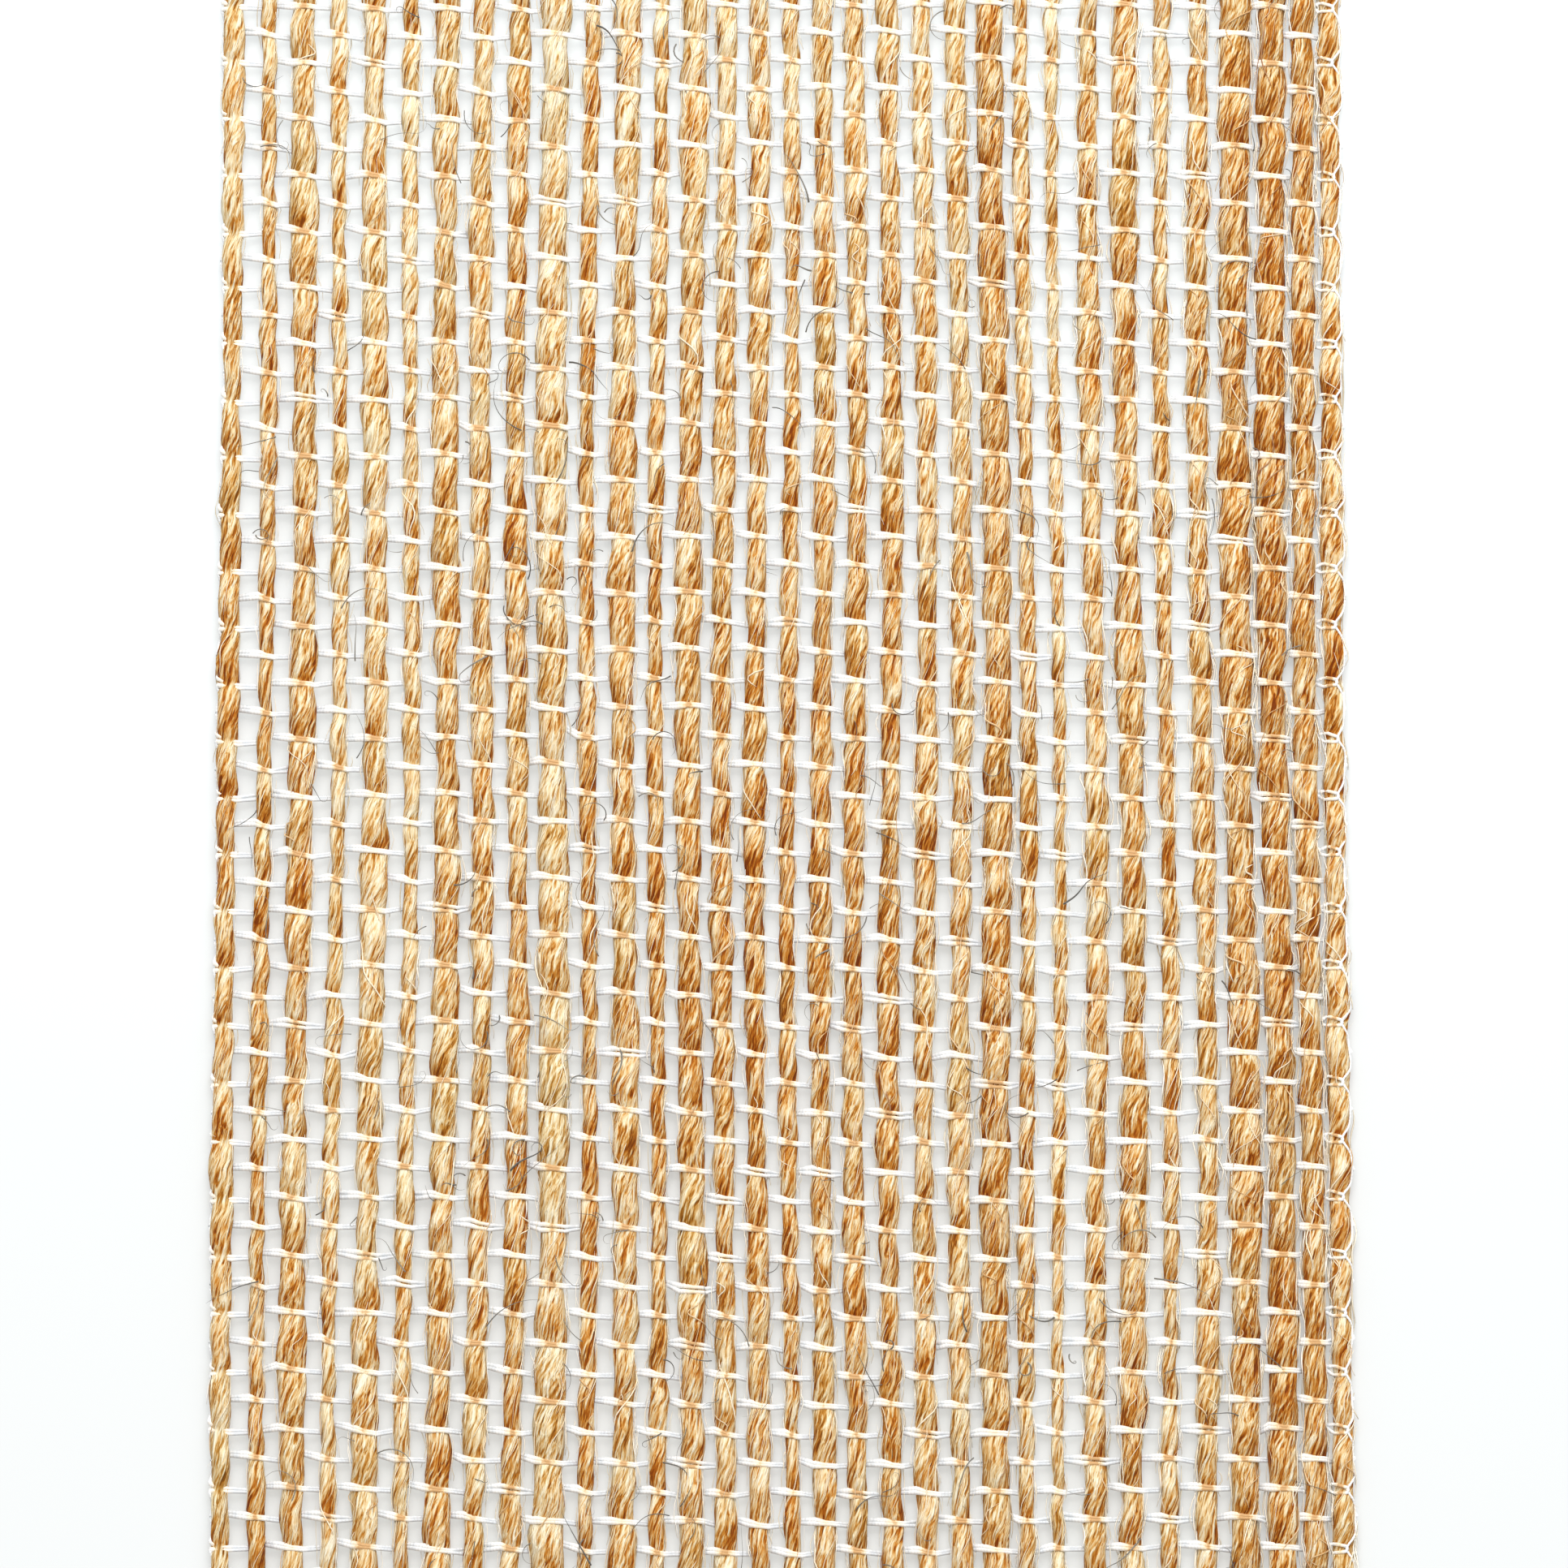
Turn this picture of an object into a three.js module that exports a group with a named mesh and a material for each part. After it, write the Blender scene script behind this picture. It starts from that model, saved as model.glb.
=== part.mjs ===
import * as THREE from 'three';
import { mergeVertices } from 'three/addons/utils/BufferGeometryUtils.js';

// A cut length of open jute ribbon, lying flat with its face up.
// The jute yarns run along Y, side by side along X, and show as ribs on the top face.
// The origin is in the middle of the flat underside. Lengths are in millimetres.

// Driving dimensions
const WIDTH = 63.5; // over both woven edges
const LENGTH = 110; // from cut end to cut end
const GROUND = 1.0; // thickness of the open ground between two yarns
const MIDDLE = 0.9; // height of the yarns' centres above the underside
const LEFT_TURN = 0.15; // the cross thread wraps this far round the outside of the first yarn
const RIGHT_CHAIN = 0.45; // the catch thread's chain stands out this far past the last yarn
const CROWD = 0.92; // a yarn takes at most this share of the way to its nearer neighbour
const TOUCHING = 1e-4; // points closer than this are one point

// How wide each kind of yarn is
const YARN_WIDTH = { fine: 0.7, thin: 0.88, plain: 1.15, full: 1.4, thick: 1.7 };

// The yarns as they follow one another across the ribbon, from the left edge to the right
const YARNS = [
  'plain', 'thin', 'full', 'thin', 'full', 'thin', 'full', 'plain', 'plain', 'thick', 'thin',
  'full', 'thin', 'full', 'plain', 'plain', 'thin', 'plain', 'plain', 'plain', 'plain', 'plain',
  'thick', 'thin', 'fine', 'plain', 'full', 'thin', 'plain', 'thick', 'thick', 'full', 'thin',
];

// Loosely spun yarn swells and thins in two slow waves, each shifted by a step from yarn to yarn
const SLUBS = [
  { period: 31, share: 0.1, step: 0.618 },
  { period: 13, share: 0.07, step: 0.414 },
];
const SWAY = { period: 74, reach: 0.16, step: 0.053 }; // sideways, nearly alike in neighbours
const STEADY_EDGE = 3; // this many yarns from an edge inwards, the sway grows to its full reach
const DRIFT = [
  { yarn: 0, shift: 0 },
  { yarn: 5, shift: 0.5 },
  { yarn: 11, shift: 0.95 },
  { yarn: 15, shift: 0.65 },
  { yarn: 18, shift: 0.35 },
  { yarn: 22, shift: 0.45 },
  { yarn: 24, shift: 0.05 },
  { yarn: 30, shift: 0.65 },
  { yarn: 31, shift: 0.5 },
  { yarn: 32, shift: 0 },
]; // how far to the right of their even places the yarns lie, with even changes in between

// The solid's own detail
const STEPS = 29; // along the length
const RIB = [
  { across: -1, rise: 0 },
  { across: -0.62, rise: 0.72 },
  { across: 0, rise: 1 },
  { across: 0.62, rise: 0.72 },
  { across: 1, rise: 0 },
]; // outline of a rib, in shares of its half width and of its height over the ground

const last = YARNS.length - 1;
const firstCentre = -WIDTH / 2 + LEFT_TURN + YARN_WIDTH[YARNS[0]] / 2;
const lastCentre = WIDTH / 2 - RIGHT_CHAIN - YARN_WIDTH[YARNS[last]] / 2;
const pitch = (lastCentre - firstCentre) / last;

const wave = (along, period, shift) => Math.sin(2 * Math.PI * (along / period + shift));

// How far a yarn lies from its even place
function drift(yarn) {
  const next = DRIFT.findIndex((row) => row.yarn >= yarn);
  const to = DRIFT[next];
  const from = DRIFT[Math.max(0, next - 1)];
  const share = to.yarn > from.yarn ? (yarn - from.yarn) / (to.yarn - from.yarn) : 0;
  return THREE.MathUtils.lerp(from.shift, to.shift, share);
}

// Sideways place of a yarn's centre at a place along the ribbon
function yarnCentre(yarn, along) {
  const freedom = Math.min(1, (1 + Math.min(yarn, last - yarn)) / STEADY_EDGE);
  const sway = SWAY.reach * freedom * wave(along, SWAY.period, SWAY.step * yarn);
  return firstCentre + pitch * yarn + drift(yarn) + sway;
}

// Width of a yarn at a place along the ribbon
function yarnWidth(yarn, along) {
  const swell = SLUBS.reduce(
    (sum, slub) => sum + slub.share * wave(along, slub.period, slub.step * yarn),
    1,
  );
  const neighbours = [yarn - 1, yarn + 1].filter((other) => other >= 0 && other <= last);
  const ways = neighbours.map((other) =>
    Math.abs(yarnCentre(other, along) - yarnCentre(yarn, along)),
  );
  return Math.min(YARN_WIDTH[YARNS[yarn]] * swell, CROWD * Math.min(...ways));
}

// Cross-section of an even ribbon, drawn in counts: one from yarn to yarn across,
// and upwards 0 at the underside, 1 at the ground and 2 at every crown
const EVEN_HALF = 0.4; // half width of a rib there
const EVEN_EDGE = 0.5; // from the outer yarns' centres to the woven edges there
function evenSection() {
  const ribs = YARNS.flatMap((kind, yarn) =>
    RIB.map(({ across, rise }) => new THREE.Vector2(yarn + across * EVEN_HALF, 1 + rise)),
  );
  return new THREE.Shape([
    new THREE.Vector2(last + EVEN_EDGE, 0),
    new THREE.Vector2(last + EVEN_EDGE, 1),
    ...ribs.reverse(),
    new THREE.Vector2(-EVEN_EDGE, 1),
    new THREE.Vector2(-EVEN_EDGE, 0),
  ]);
}

// Real place of a point of the even ribbon
function settle(evenX, evenHeight, along) {
  const yarn = THREE.MathUtils.clamp(Math.round(evenX), 0, last);
  const width = yarnWidth(yarn, along);
  const across = (evenX - yarn) / EVEN_HALF;
  const side = Math.sign(across);
  const onEdge = Math.abs(evenX - yarn) > (EVEN_HALF + EVEN_EDGE) / 2;
  const margin = onEdge ? (side < 0 ? LEFT_TURN : RIGHT_CHAIN) : 0;
  const reach = (Math.min(1, Math.abs(across)) * width) / 2 + margin;
  const crown = MIDDLE + width / 2;
  const height = evenHeight > 1 ? GROUND + (evenHeight - 1) * (crown - GROUND) : evenHeight * GROUND;
  return new THREE.Vector3(yarnCentre(yarn, along) + side * reach, along, height);
}

// The whole ribbon: the even one drawn out along its length, then each point settled
function ribbonGeometry() {
  const even = new THREE.ExtrudeGeometry(evenSection(), {
    depth: LENGTH,
    steps: STEPS,
    bevelEnabled: false,
  });
  even.deleteAttribute('normal');
  even.deleteAttribute('uv');
  const places = even.attributes.position;
  for (let i = 0; i < places.count; i += 1) {
    const real = settle(places.getX(i), places.getY(i), LENGTH / 2 - places.getZ(i));
    places.setXYZ(i, ...real);
  }
  const solid = mergeVertices(even, TOUCHING);
  solid.computeBoundingBox();
  solid.translate(-solid.boundingBox.getCenter(new THREE.Vector3()).x, 0, 0);
  solid.computeVertexNormals();
  return solid;
}

const jute = new THREE.MeshStandardMaterial({
  name: 'jute',
  color: 0xd2a066,
  roughness: 0.85,
  metalness: 0,
});

const ribbon = new THREE.Mesh(ribbonGeometry(), jute);
ribbon.name = 'jute_ribbon';

const part = new THREE.Group();
part.add(ribbon);

export default part;
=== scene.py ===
"""A cut length of open jute ribbon: spun yarns, doubled white cross threads, woven edges, loose fibres.

The ribbon lies flat. Its jute yarns run along Y and are counted from the left edge. Its cross
threads are counted in rows from the far cut end, at +Y, to the near one. Sizes are in
millimetres until a mesh is made, and all seeds are fixed, so every run gives the same ribbon.
"""

import logging
import math
from dataclasses import dataclass
from enum import Enum
from typing import ClassVar, NamedTuple, Union

import bmesh
import bpy
import numpy as np
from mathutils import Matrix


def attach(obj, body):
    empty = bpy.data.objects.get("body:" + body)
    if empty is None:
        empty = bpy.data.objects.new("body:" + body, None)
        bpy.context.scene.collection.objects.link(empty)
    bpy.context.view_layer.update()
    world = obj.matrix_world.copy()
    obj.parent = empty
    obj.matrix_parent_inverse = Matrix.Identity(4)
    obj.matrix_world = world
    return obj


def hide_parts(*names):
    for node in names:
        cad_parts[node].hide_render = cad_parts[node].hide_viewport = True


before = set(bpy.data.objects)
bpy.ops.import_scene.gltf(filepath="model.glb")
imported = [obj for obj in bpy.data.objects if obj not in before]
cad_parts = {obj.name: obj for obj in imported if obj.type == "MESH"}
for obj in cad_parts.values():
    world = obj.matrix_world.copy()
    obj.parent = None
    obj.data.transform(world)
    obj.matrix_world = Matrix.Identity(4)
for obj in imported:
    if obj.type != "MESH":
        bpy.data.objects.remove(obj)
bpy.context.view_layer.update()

MM = 0.001
BODY = "root"
NODE = "jute_ribbon"
BAKE_MAP = "OFBake"  # name of the UV map that the strands are unrolled into
TURN = 2 * math.pi
FIRST_SIDE = TURN / 4  # angle of a new tube's first point round it
TINY = 1e-12  # keeps a length of zero from dividing
LOG = logging.getLogger("jute_ribbon")

Array = np.ndarray
Colour = tuple[float, float, float, float]
Vector = tuple[float, float, float]


def from_screen(red: float, green: float, blue: float) -> Colour:
    """A colour as a screen shows it, as the linear one that a shader takes, by the sRGB curve.

    Args:
        red: From 0 to 255, as are green and blue.
        green: See red.
        blue: See red.

    Returns:
        Linear red, green and blue, and an alpha of 1.
    """
    shares = [value / 255 for value in (red, green, blue)]
    linear = [s / 12.92 if s <= 0.04045 else ((s + 0.055) / 1.055) ** 2.4 for s in shares]
    return (*linear, 1.0)


def bell(distance: Array, reach: float) -> Array:
    """A smooth bump: 1 at a distance of 0 and next to nothing at twice the reach."""
    return np.exp(-((distance / reach) ** 2))


class Slot(Enum):
    """The record's material slots."""

    JUTE = "jute"
    THREAD = "white_thread"


class YarnKind(Enum):
    """How thick a yarn is spun: its width, in millimetres."""

    FINE = 0.7
    THIN = 0.88
    PLAIN = 1.15
    FULL = 1.4
    THICK = 1.7


class Slub(NamedTuple):
    """A slow wave in a yarn's thickness: its period, its share and its shift from yarn to yarn."""

    period: float
    share: float
    step: float


class Drift(NamedTuple):
    """How far to the right of its even place a yarn lies."""

    yarn: int
    shift: float


class Patch(NamedTuple):
    """A place where the jute is browner, or paler where depth is negative."""

    x: float
    y: float
    reach_x: float
    reach_y: float
    depth: float


@dataclass(frozen=True)
class Cloth:
    """The ribbon's sizes and the places of its yarns, the same as in the solid.

    Attributes:
        middle: Height of the yarns' centres.
        left_turn: How far the cross thread stands out past the first yarn.
        right_chain: How far the chain stands out past the last yarn.
        crowd: A yarn takes at most this share of the way to its nearer neighbour.
        kinds: The yarns from the left.
        sway_reach: How far the yarns sway to and fro, all nearly alike.
        steady_edge: Over this many yarns from an edge, the sway grows to its full reach.
        rows: How many rows of cross thread there are.
    """

    width: float = 63.5
    length: float = 110.0
    middle: float = 0.9
    left_turn: float = 0.15
    right_chain: float = 0.45
    crowd: float = 0.92
    kinds: tuple[YarnKind, ...] = tuple(
        YarnKind[word.upper()]
        for word in (
            "plain thin full thin full thin full plain plain thick thin "
            "full thin full plain plain thin plain plain plain plain plain "
            "thick thin fine plain full thin plain thick thick full thin"
        ).split()
    )
    slubs: tuple[Slub, ...] = (Slub(31, 0.1, 0.618), Slub(13, 0.07, 0.414))
    sway_period: float = 74
    sway_reach: float = 0.16
    sway_step: float = 0.053
    steady_edge: int = 3
    drifts: tuple[Drift, ...] = (
        Drift(0, 0), Drift(5, 0.5), Drift(11, 0.95), Drift(15, 0.65), Drift(18, 0.35),
        Drift(22, 0.45), Drift(24, 0.05), Drift(30, 0.65), Drift(31, 0.5), Drift(32, 0),
    )
    rows: int = 68

    @property
    def last(self) -> int:
        """Number of the last yarn."""
        return len(self.kinds) - 1

    @property
    def yarns(self) -> Array:
        """The yarns' numbers."""
        return np.arange(len(self.kinds))

    @property
    def row_pitch(self) -> float:
        """From one row of cross thread to the next."""
        return self.length / self.rows

    def near_ends(self, clear: float) -> tuple[float, float]:
        """Places a little inside the far cut end and the near one, all in rows."""
        return clear - 0.5, self.rows - 0.5 - clear

    def nominal(self, yarn: Array) -> Array:
        """Width of a yarn without its slubs."""
        return np.array([kind.value for kind in self.kinds])[yarn]

    def centre(self, yarn: Array, along: Array) -> Array:
        """Sideways place of a yarn's centre.

        Args:
            yarn: The yarns' numbers.
            along: Places along the ribbon, from -length / 2 to length / 2.

        Returns:
            X, in millimetres.
        """
        first = -self.width / 2 + self.left_turn + self.kinds[0].value / 2
        final = self.width / 2 - self.right_chain - self.kinds[-1].value / 2
        drift = np.interp(yarn, [d.yarn for d in self.drifts], [d.shift for d in self.drifts])
        freedom = np.minimum(1, (1 + np.minimum(yarn, self.last - yarn)) / self.steady_edge)
        sway = np.sin(TURN * (along / self.sway_period + self.sway_step * yarn))
        return first + (final - first) / self.last * yarn + drift + self.sway_reach * freedom * sway

    def width_at(self, yarn: Array, along: Array) -> Array:
        """Width of a yarn with its slubs.

        Args:
            yarn: The yarns' numbers.
            along: Places along the ribbon.

        Returns:
            Widths, in millimetres.
        """
        swell = 1 + sum(s.share * np.sin(TURN * (along / s.period + s.step * yarn)) for s in self.slubs)
        here = self.centre(yarn, along)
        before = here - self.centre(np.maximum(yarn - 1, 0), along)
        after = self.centre(np.minimum(yarn + 1, self.last), along) - here
        nearer = np.minimum(
            np.where(yarn > 0, before, np.inf), np.where(yarn < self.last, after, np.inf)
        )
        return np.minimum(self.nominal(yarn) * swell, self.crowd * nearer)


class Section(NamedTuple):
    """Cross-sections of yarns: their centres, half widths, and heights above and below the centre."""

    x: Array
    y: Array
    z: Array
    half: Array
    top: Array
    bottom: Array


@dataclass
class Weave:
    """How the cross threads pinch the yarns, and the true surface of each yarn.

    A place along a yarn is given in rows: 3.0 is at the fourth row of cross thread, and 3.5
    is half way from there to the fifth.

    Attributes:
        row_stray: How unevenly the rows lie, from yarn to yarn.
        row_bow: How far the rows bow, all together.
        end_stray: How unevenly the ends are cut.
        sag: How far a thinner yarn lies below a thick one, as a share of what its radius lacks.
        crimp: How far a yarn bends down under a thread, and up over one.
        dent: How deep a thread presses into a yarn, as a share of its height.
        waist: How much it draws a yarn in, as a share of its width.
        body: Share of its width that a yarn has at the threads.
        swell: How much it swells between them.
        bulge_lean: Over 1, the swelling lies nearer to the thread that the yarn dives under.
        flattest: With flatter, how much flatter than round a wide yarn is.
        edge_wider: How much wider towards the edge the last yarn is than in the solid.
        lobes: Counts of twisted bundles round a yarn, one wave on another.
        wander: How far the bundles stray from an even twist, in radians.
    """

    cloth: Cloth
    seed: int = 7
    row_stray: float = 0.05
    row_bow: float = 0.16
    row_bow_period: float = 52
    row_bow_step: float = 0.013
    end_stray: float = 0.35
    sag: float = 0.45
    crimp: float = 0.12
    dent: float = 0.24
    dent_reach: float = 0.23
    waist: float = 0.045
    body: float = 0.945
    swell: float = 0.075
    bulge_lean: float = 1.45
    top_share: float = 0.93
    ruggedness: float = 0.035
    rugged_periods: tuple[float, float] = (4.7, 2.9)
    flattest: float = 0.45
    flatter: float = 0.35
    twist_angle: float = math.radians(15)
    edge_wider: float = 0.28
    lobes: tuple[int, ...] = (2, 3, 4, 5)
    lobe_depths: tuple[float, ...] = (0.055, 0.05, 0.05, 0.035)
    wander: float = 0.9
    wander_run: float = 2.1
    wander_step: float = 0.8

    def __post_init__(self) -> None:
        """Draws the unevenness of the rows and of the yarns' twist."""
        draw = np.random.default_rng(self.seed)
        cloth = self.cloth
        count = len(cloth.kinds)
        row = np.arange(-1, cloth.rows + 1)[:, None]
        even = cloth.length / 2 - (row + 0.5) * cloth.row_pitch
        x = cloth.centre(cloth.yarns, 0.0)
        bow = self.row_bow * np.sin(TURN * (x / self.row_bow_period + self.row_bow_step * row))
        stray = draw.normal(0, self.row_stray, (len(row), count))
        self.row_places = even + bow + stray
        self.row_places[0] = cloth.length / 2 + cloth.row_pitch / 2
        self.row_places[-1] = -cloth.length / 2 - cloth.row_pitch / 2
        self.ends = draw.uniform(-self.end_stray, self.end_stray, (2, count))
        self.lobe_starts = draw.uniform(0, TURN, (len(self.lobes), count))
        self.lobe_wanders = draw.uniform(0, TURN, (len(self.lobes), count))

    def place(self, yarn: Array, row: Array) -> Array:
        """Y of places that are given in rows.

        Args:
            yarn: The yarns' numbers.
            row: Places along them, in rows.

        Returns:
            Y, in millimetres.
        """
        low = np.clip(np.floor(row).astype(int), -1, self.cloth.rows - 1)
        share = row - low
        places = self.row_places
        return places[low + 1, yarn] * (1 - share) + places[low + 2, yarn] * share

    @staticmethod
    def phase(yarn: Array, row: Array) -> Array:
        """Share of the way from one thread that lies over a yarn, 0, to the next such thread, 1."""
        return np.mod(row - yarn % 2, 2) / 2

    def twist(self, yarn: Array) -> Array:
        """Radians that a yarn's fibres turn in each millimetre of its length."""
        return math.tan(self.twist_angle) / (self.cloth.nominal(yarn) / 2)

    def section(self, yarn: Array, row: Array, dented: Array = 1.0) -> Section:
        """Cross-sections of yarns.

        Args:
            yarn: The yarns' numbers.
            row: Places along them, in rows.
            dented: 1 where the cross threads press in, 0 for the yarn as if they didn't.

        Returns:
            The sections, without the lobes of the twist.
        """
        pitch = self.cloth.row_pitch
        y = self.place(yarn, row)
        phase = self.phase(yarn, row)
        over = bell(np.minimum(phase, 1 - phase) * 2 * pitch, self.dent_reach) * dented
        under = bell(np.abs(phase - 0.5) * 2 * pitch, self.dent_reach) * dented
        bulge = np.sin(math.pi * phase**self.bulge_lean)
        wider = self.edge_wider / 2 * (yarn == self.cloth.last)
        half = self.cloth.width_at(yarn, y) / 2 + wider
        tall = np.minimum(half, self.flattest + self.flatter * half)
        lower = self.sag * (YarnKind.THICK.value - self.cloth.nominal(yarn)) / 2
        return Section(
            self.cloth.centre(yarn, y) + self.rugged(yarn, y) + wider,
            y,
            self.cloth.middle - lower - self.crimp * np.cos(TURN * phase),
            half * (self.body + 0.5 * self.swell * bulge) * (1 - self.waist * (over + 0.5 * under)),
            tall * (self.top_share + self.swell * bulge) * (1 - self.dent * over),
            tall * (1 - self.dent * under),
        )

    def rugged(self, yarn: Array, y: Array) -> Array:
        """Short sideways unevenness of a loosely spun yarn.

        Args:
            yarn: The yarns' numbers.
            y: Places along them, in millimetres.

        Returns:
            How far to the right they stray, in millimetres.
        """
        first, second = (
            np.sin(TURN * y / period + start[yarn])
            for period, start in zip(self.rugged_periods, self.lobe_starts)
        )
        return self.ruggedness * (first + second)

    def lobe(self, yarn: Array, y: Array, angle: Array) -> Array:
        """How far the twisted bundles stand out.

        Args:
            yarn: The yarns' numbers.
            y: Places along them, in millimetres.
            angle: Angles round them.

        Returns:
            Shares of the yarns' radius, about 1.
        """
        down = self.cloth.length / 2 - y
        fibre = angle - down * self.twist(yarn)
        out = np.ones(np.broadcast_shapes(np.shape(fibre), np.shape(yarn)))
        for k, (count, depth) in enumerate(zip(self.lobes, self.lobe_depths)):
            run = self.wander_run + self.wander_step * k
            wander = self.wander * np.sin(down / run + self.lobe_wanders[k][yarn])
            out = out + depth * np.cos(count * fibre + self.lobe_starts[k][yarn] + wander)
        return out

    def surface(
        self, yarn: Array, row: Array, angle: Array, lift: Array = 0.0, dented: Array = 1.0
    ) -> Array:
        """Points on yarns.

        Args:
            yarn: The yarns' numbers.
            row: Places along them, in rows.
            angle: Angles round them, 0 to the right and a quarter turn at the top.
            lift: How far the points lie off the surface, in millimetres.
            dented: As in section().

        Returns:
            X, Y and Z in a last column of three.
        """
        s = self.section(yarn, row, dented)
        lobe = self.lobe(yarn, s.y, angle)
        tall = np.where(np.sin(angle) > 0, s.top, s.bottom)
        x = s.x + (s.half * lobe + lift) * np.cos(angle)
        z = s.z + (tall * lobe + lift) * np.sin(angle)
        return np.stack(np.broadcast_arrays(x, s.y, z), -1)


class TubeMap(NamedTuple):
    """Where the parts of one tube lie in its map, in shares of the map, which is one high.

    Attributes:
        wall: Share of the map's height that the wall takes, in the middle.
        cap: How far from the map's end the middle of a cap lies.
        cap_across: Half the width of a cap.
        cap_high: Half its height.
    """

    wall: float = 0.96
    cap: float = 0.006
    cap_across: float = 0.3
    cap_high: float = 0.004


def straight_tube(sides: int, rings: int) -> bmesh.types.BMesh:
    """A capped tube, one long and with a radius of one, with a map that unrolls it.

    Args:
        sides: Faces round it.
        rings: Rings of points along it.

    Returns:
        The tube, along Z. The caller frees it.
    """
    tube = bmesh.new()
    bmesh.ops.create_cone(
        tube, cap_ends=True, segments=sides, radius1=1.0, radius2=1.0, depth=1.0
    )
    lengthwise = [e for e in tube.edges if abs(e.verts[0].co.z - e.verts[1].co.z) > 0.5]
    bmesh.ops.subdivide_edges(tube, edges=lengthwise, cuts=rings - 2)
    unrolled = tube.loops.layers.uv.new(BAKE_MAP)
    plan = TubeMap()
    for face in tube.faces:
        cap = abs(face.normal.z) > 0.5
        shares = [math.atan2(v.co.y, v.co.x) / TURN % 1 for v in face.verts]
        over_seam = max(shares) - min(shares) > 0.5
        for loop, share in zip(face.loops, shares):
            spot = loop.vert.co
            if cap:
                middle = plan.cap if spot.z < 0 else 1 - plan.cap
                loop[unrolled].uv = (0.5 + plan.cap_across * spot.x, middle + plan.cap_high * spot.y)
            else:
                across = share + 1 if over_seam and share < 0.5 else share
                loop[unrolled].uv = (across / (1 + 1 / sides), 0.5 + plan.wall * spot.z)
    return tube


@dataclass
class Strands:
    """Many bent tubes of one kind in one mesh.

    Attributes:
        name: The piece's name.
        skin: Points by strand, ring and side, with X, Y and Z last, in millimetres.
        marks: Values that the finish reads, by strand, ring and side, some with a last column of three.
        few: Up to this many strands lie in one column of the map.
        column_shape: Further columns are this many times as many strands high as there are columns.
        gap: Share of a strand's place in the map that stays free on each side.
    """

    name: str
    skin: Array
    marks: dict[str, Array]
    few: ClassVar[int] = 40
    column_shape: ClassVar[int] = 12
    gap: ClassVar[float] = 0.04

    def build(self) -> bpy.types.Object:
        """Makes the piece.

        Returns:
            The object, in the scene, at the origin.
        """
        count, rings, sides = self.skin.shape[:3]
        tube = straight_tube(sides, rings)
        spots = np.array([vert.co for vert in tube.verts])
        ring = np.rint((spots[:, 2] + 0.5) * (rings - 1)).astype(int)
        angle = np.arctan2(spots[:, 1], spots[:, 0]) - FIRST_SIDE
        side = np.rint(angle * sides / TURN).astype(int) % sides
        mesh = bpy.data.meshes.new(self.name)
        tube.to_mesh(mesh)
        loops = len(mesh.loops)
        joined = bmesh.new()
        for _ in range(count):
            joined.from_mesh(mesh)
        joined.to_mesh(mesh)
        joined.free()
        tube.free()
        mesh.vertices.foreach_set("co", (self.skin[:, ring, side] * MM).astype(np.float32).ravel())
        self._spread_map(mesh, count, loops)
        for name, values in self.marks.items():
            full = np.broadcast_to(values, (count, rings, sides) + values.shape[3:])
            self._mark(mesh, name, full[:, ring, side])
        mesh.shade_smooth()
        mesh.update()
        piece = bpy.data.objects.new(self.name, mesh)
        bpy.context.collection.objects.link(piece)
        return piece

    def _spread_map(self, mesh: bpy.types.Mesh, count: int, loops: int) -> None:
        """Gives each strand a strip of its own in the map.

        Args:
            mesh: The mesh, whose strands still share one place in the map.
            count: How many strands it has.
            loops: How many face corners a strand has.
        """
        layer = mesh.uv_layers[BAKE_MAP].uv
        places = np.empty(count * loops * 2, np.float32)
        layer.foreach_get("vector", places)
        places = places.reshape(count, loops, 2)
        columns = max(1, round(math.sqrt(count / self.column_shape))) if count > self.few else 1
        stack = math.ceil(count / columns)
        strip = np.arange(count)[:, None]
        places[..., 0] = (strip % stack + self.gap + (1 - 2 * self.gap) * places[..., 0]) / stack
        places[..., 1] = (strip // stack + places[..., 1]) / columns
        layer.foreach_set("vector", places.ravel())

    @staticmethod
    def _mark(mesh: bpy.types.Mesh, name: str, values: Array) -> None:
        """Writes values at the mesh's points.

        Args:
            mesh: The mesh.
            name: What the finish calls them.
            values: By strand and point, some with a last column of three.
        """
        vector = values.ndim == 3
        layer = mesh.attributes.new(name, "FLOAT_VECTOR" if vector else "FLOAT", "POINT")
        layer.data.foreach_set("vector" if vector else "value", values.astype(np.float32).ravel())


def side_angles(sides: int) -> Array:
    """Angles of a tube's points, in the order that Strands takes them."""
    return FIRST_SIDE + TURN * np.arange(sides) / sides


def round_skin(line: Array, radius: Array, sides: int) -> Array:
    """Points of round tubes along lines that are never upright.

    Args:
        line: Centre lines, by strand and ring, with X, Y and Z last.
        radius: Radii, by strand and ring.
        sides: Faces round a tube.

    Returns:
        Points by strand, ring and side.
    """
    ahead = np.gradient(line, axis=1)
    ahead /= np.linalg.norm(ahead, axis=2, keepdims=True) + TINY
    beside = np.cross([0.0, 0.0, 1.0], ahead)
    beside /= np.linalg.norm(beside, axis=2, keepdims=True) + TINY
    above = np.cross(ahead, beside)
    angle = side_angles(sides)[:, None]
    out = beside[:, :, None] * np.cos(angle) + above[:, :, None] * np.sin(angle)
    return line[:, :, None] + out * np.asarray(radius)[..., None, None]


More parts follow.
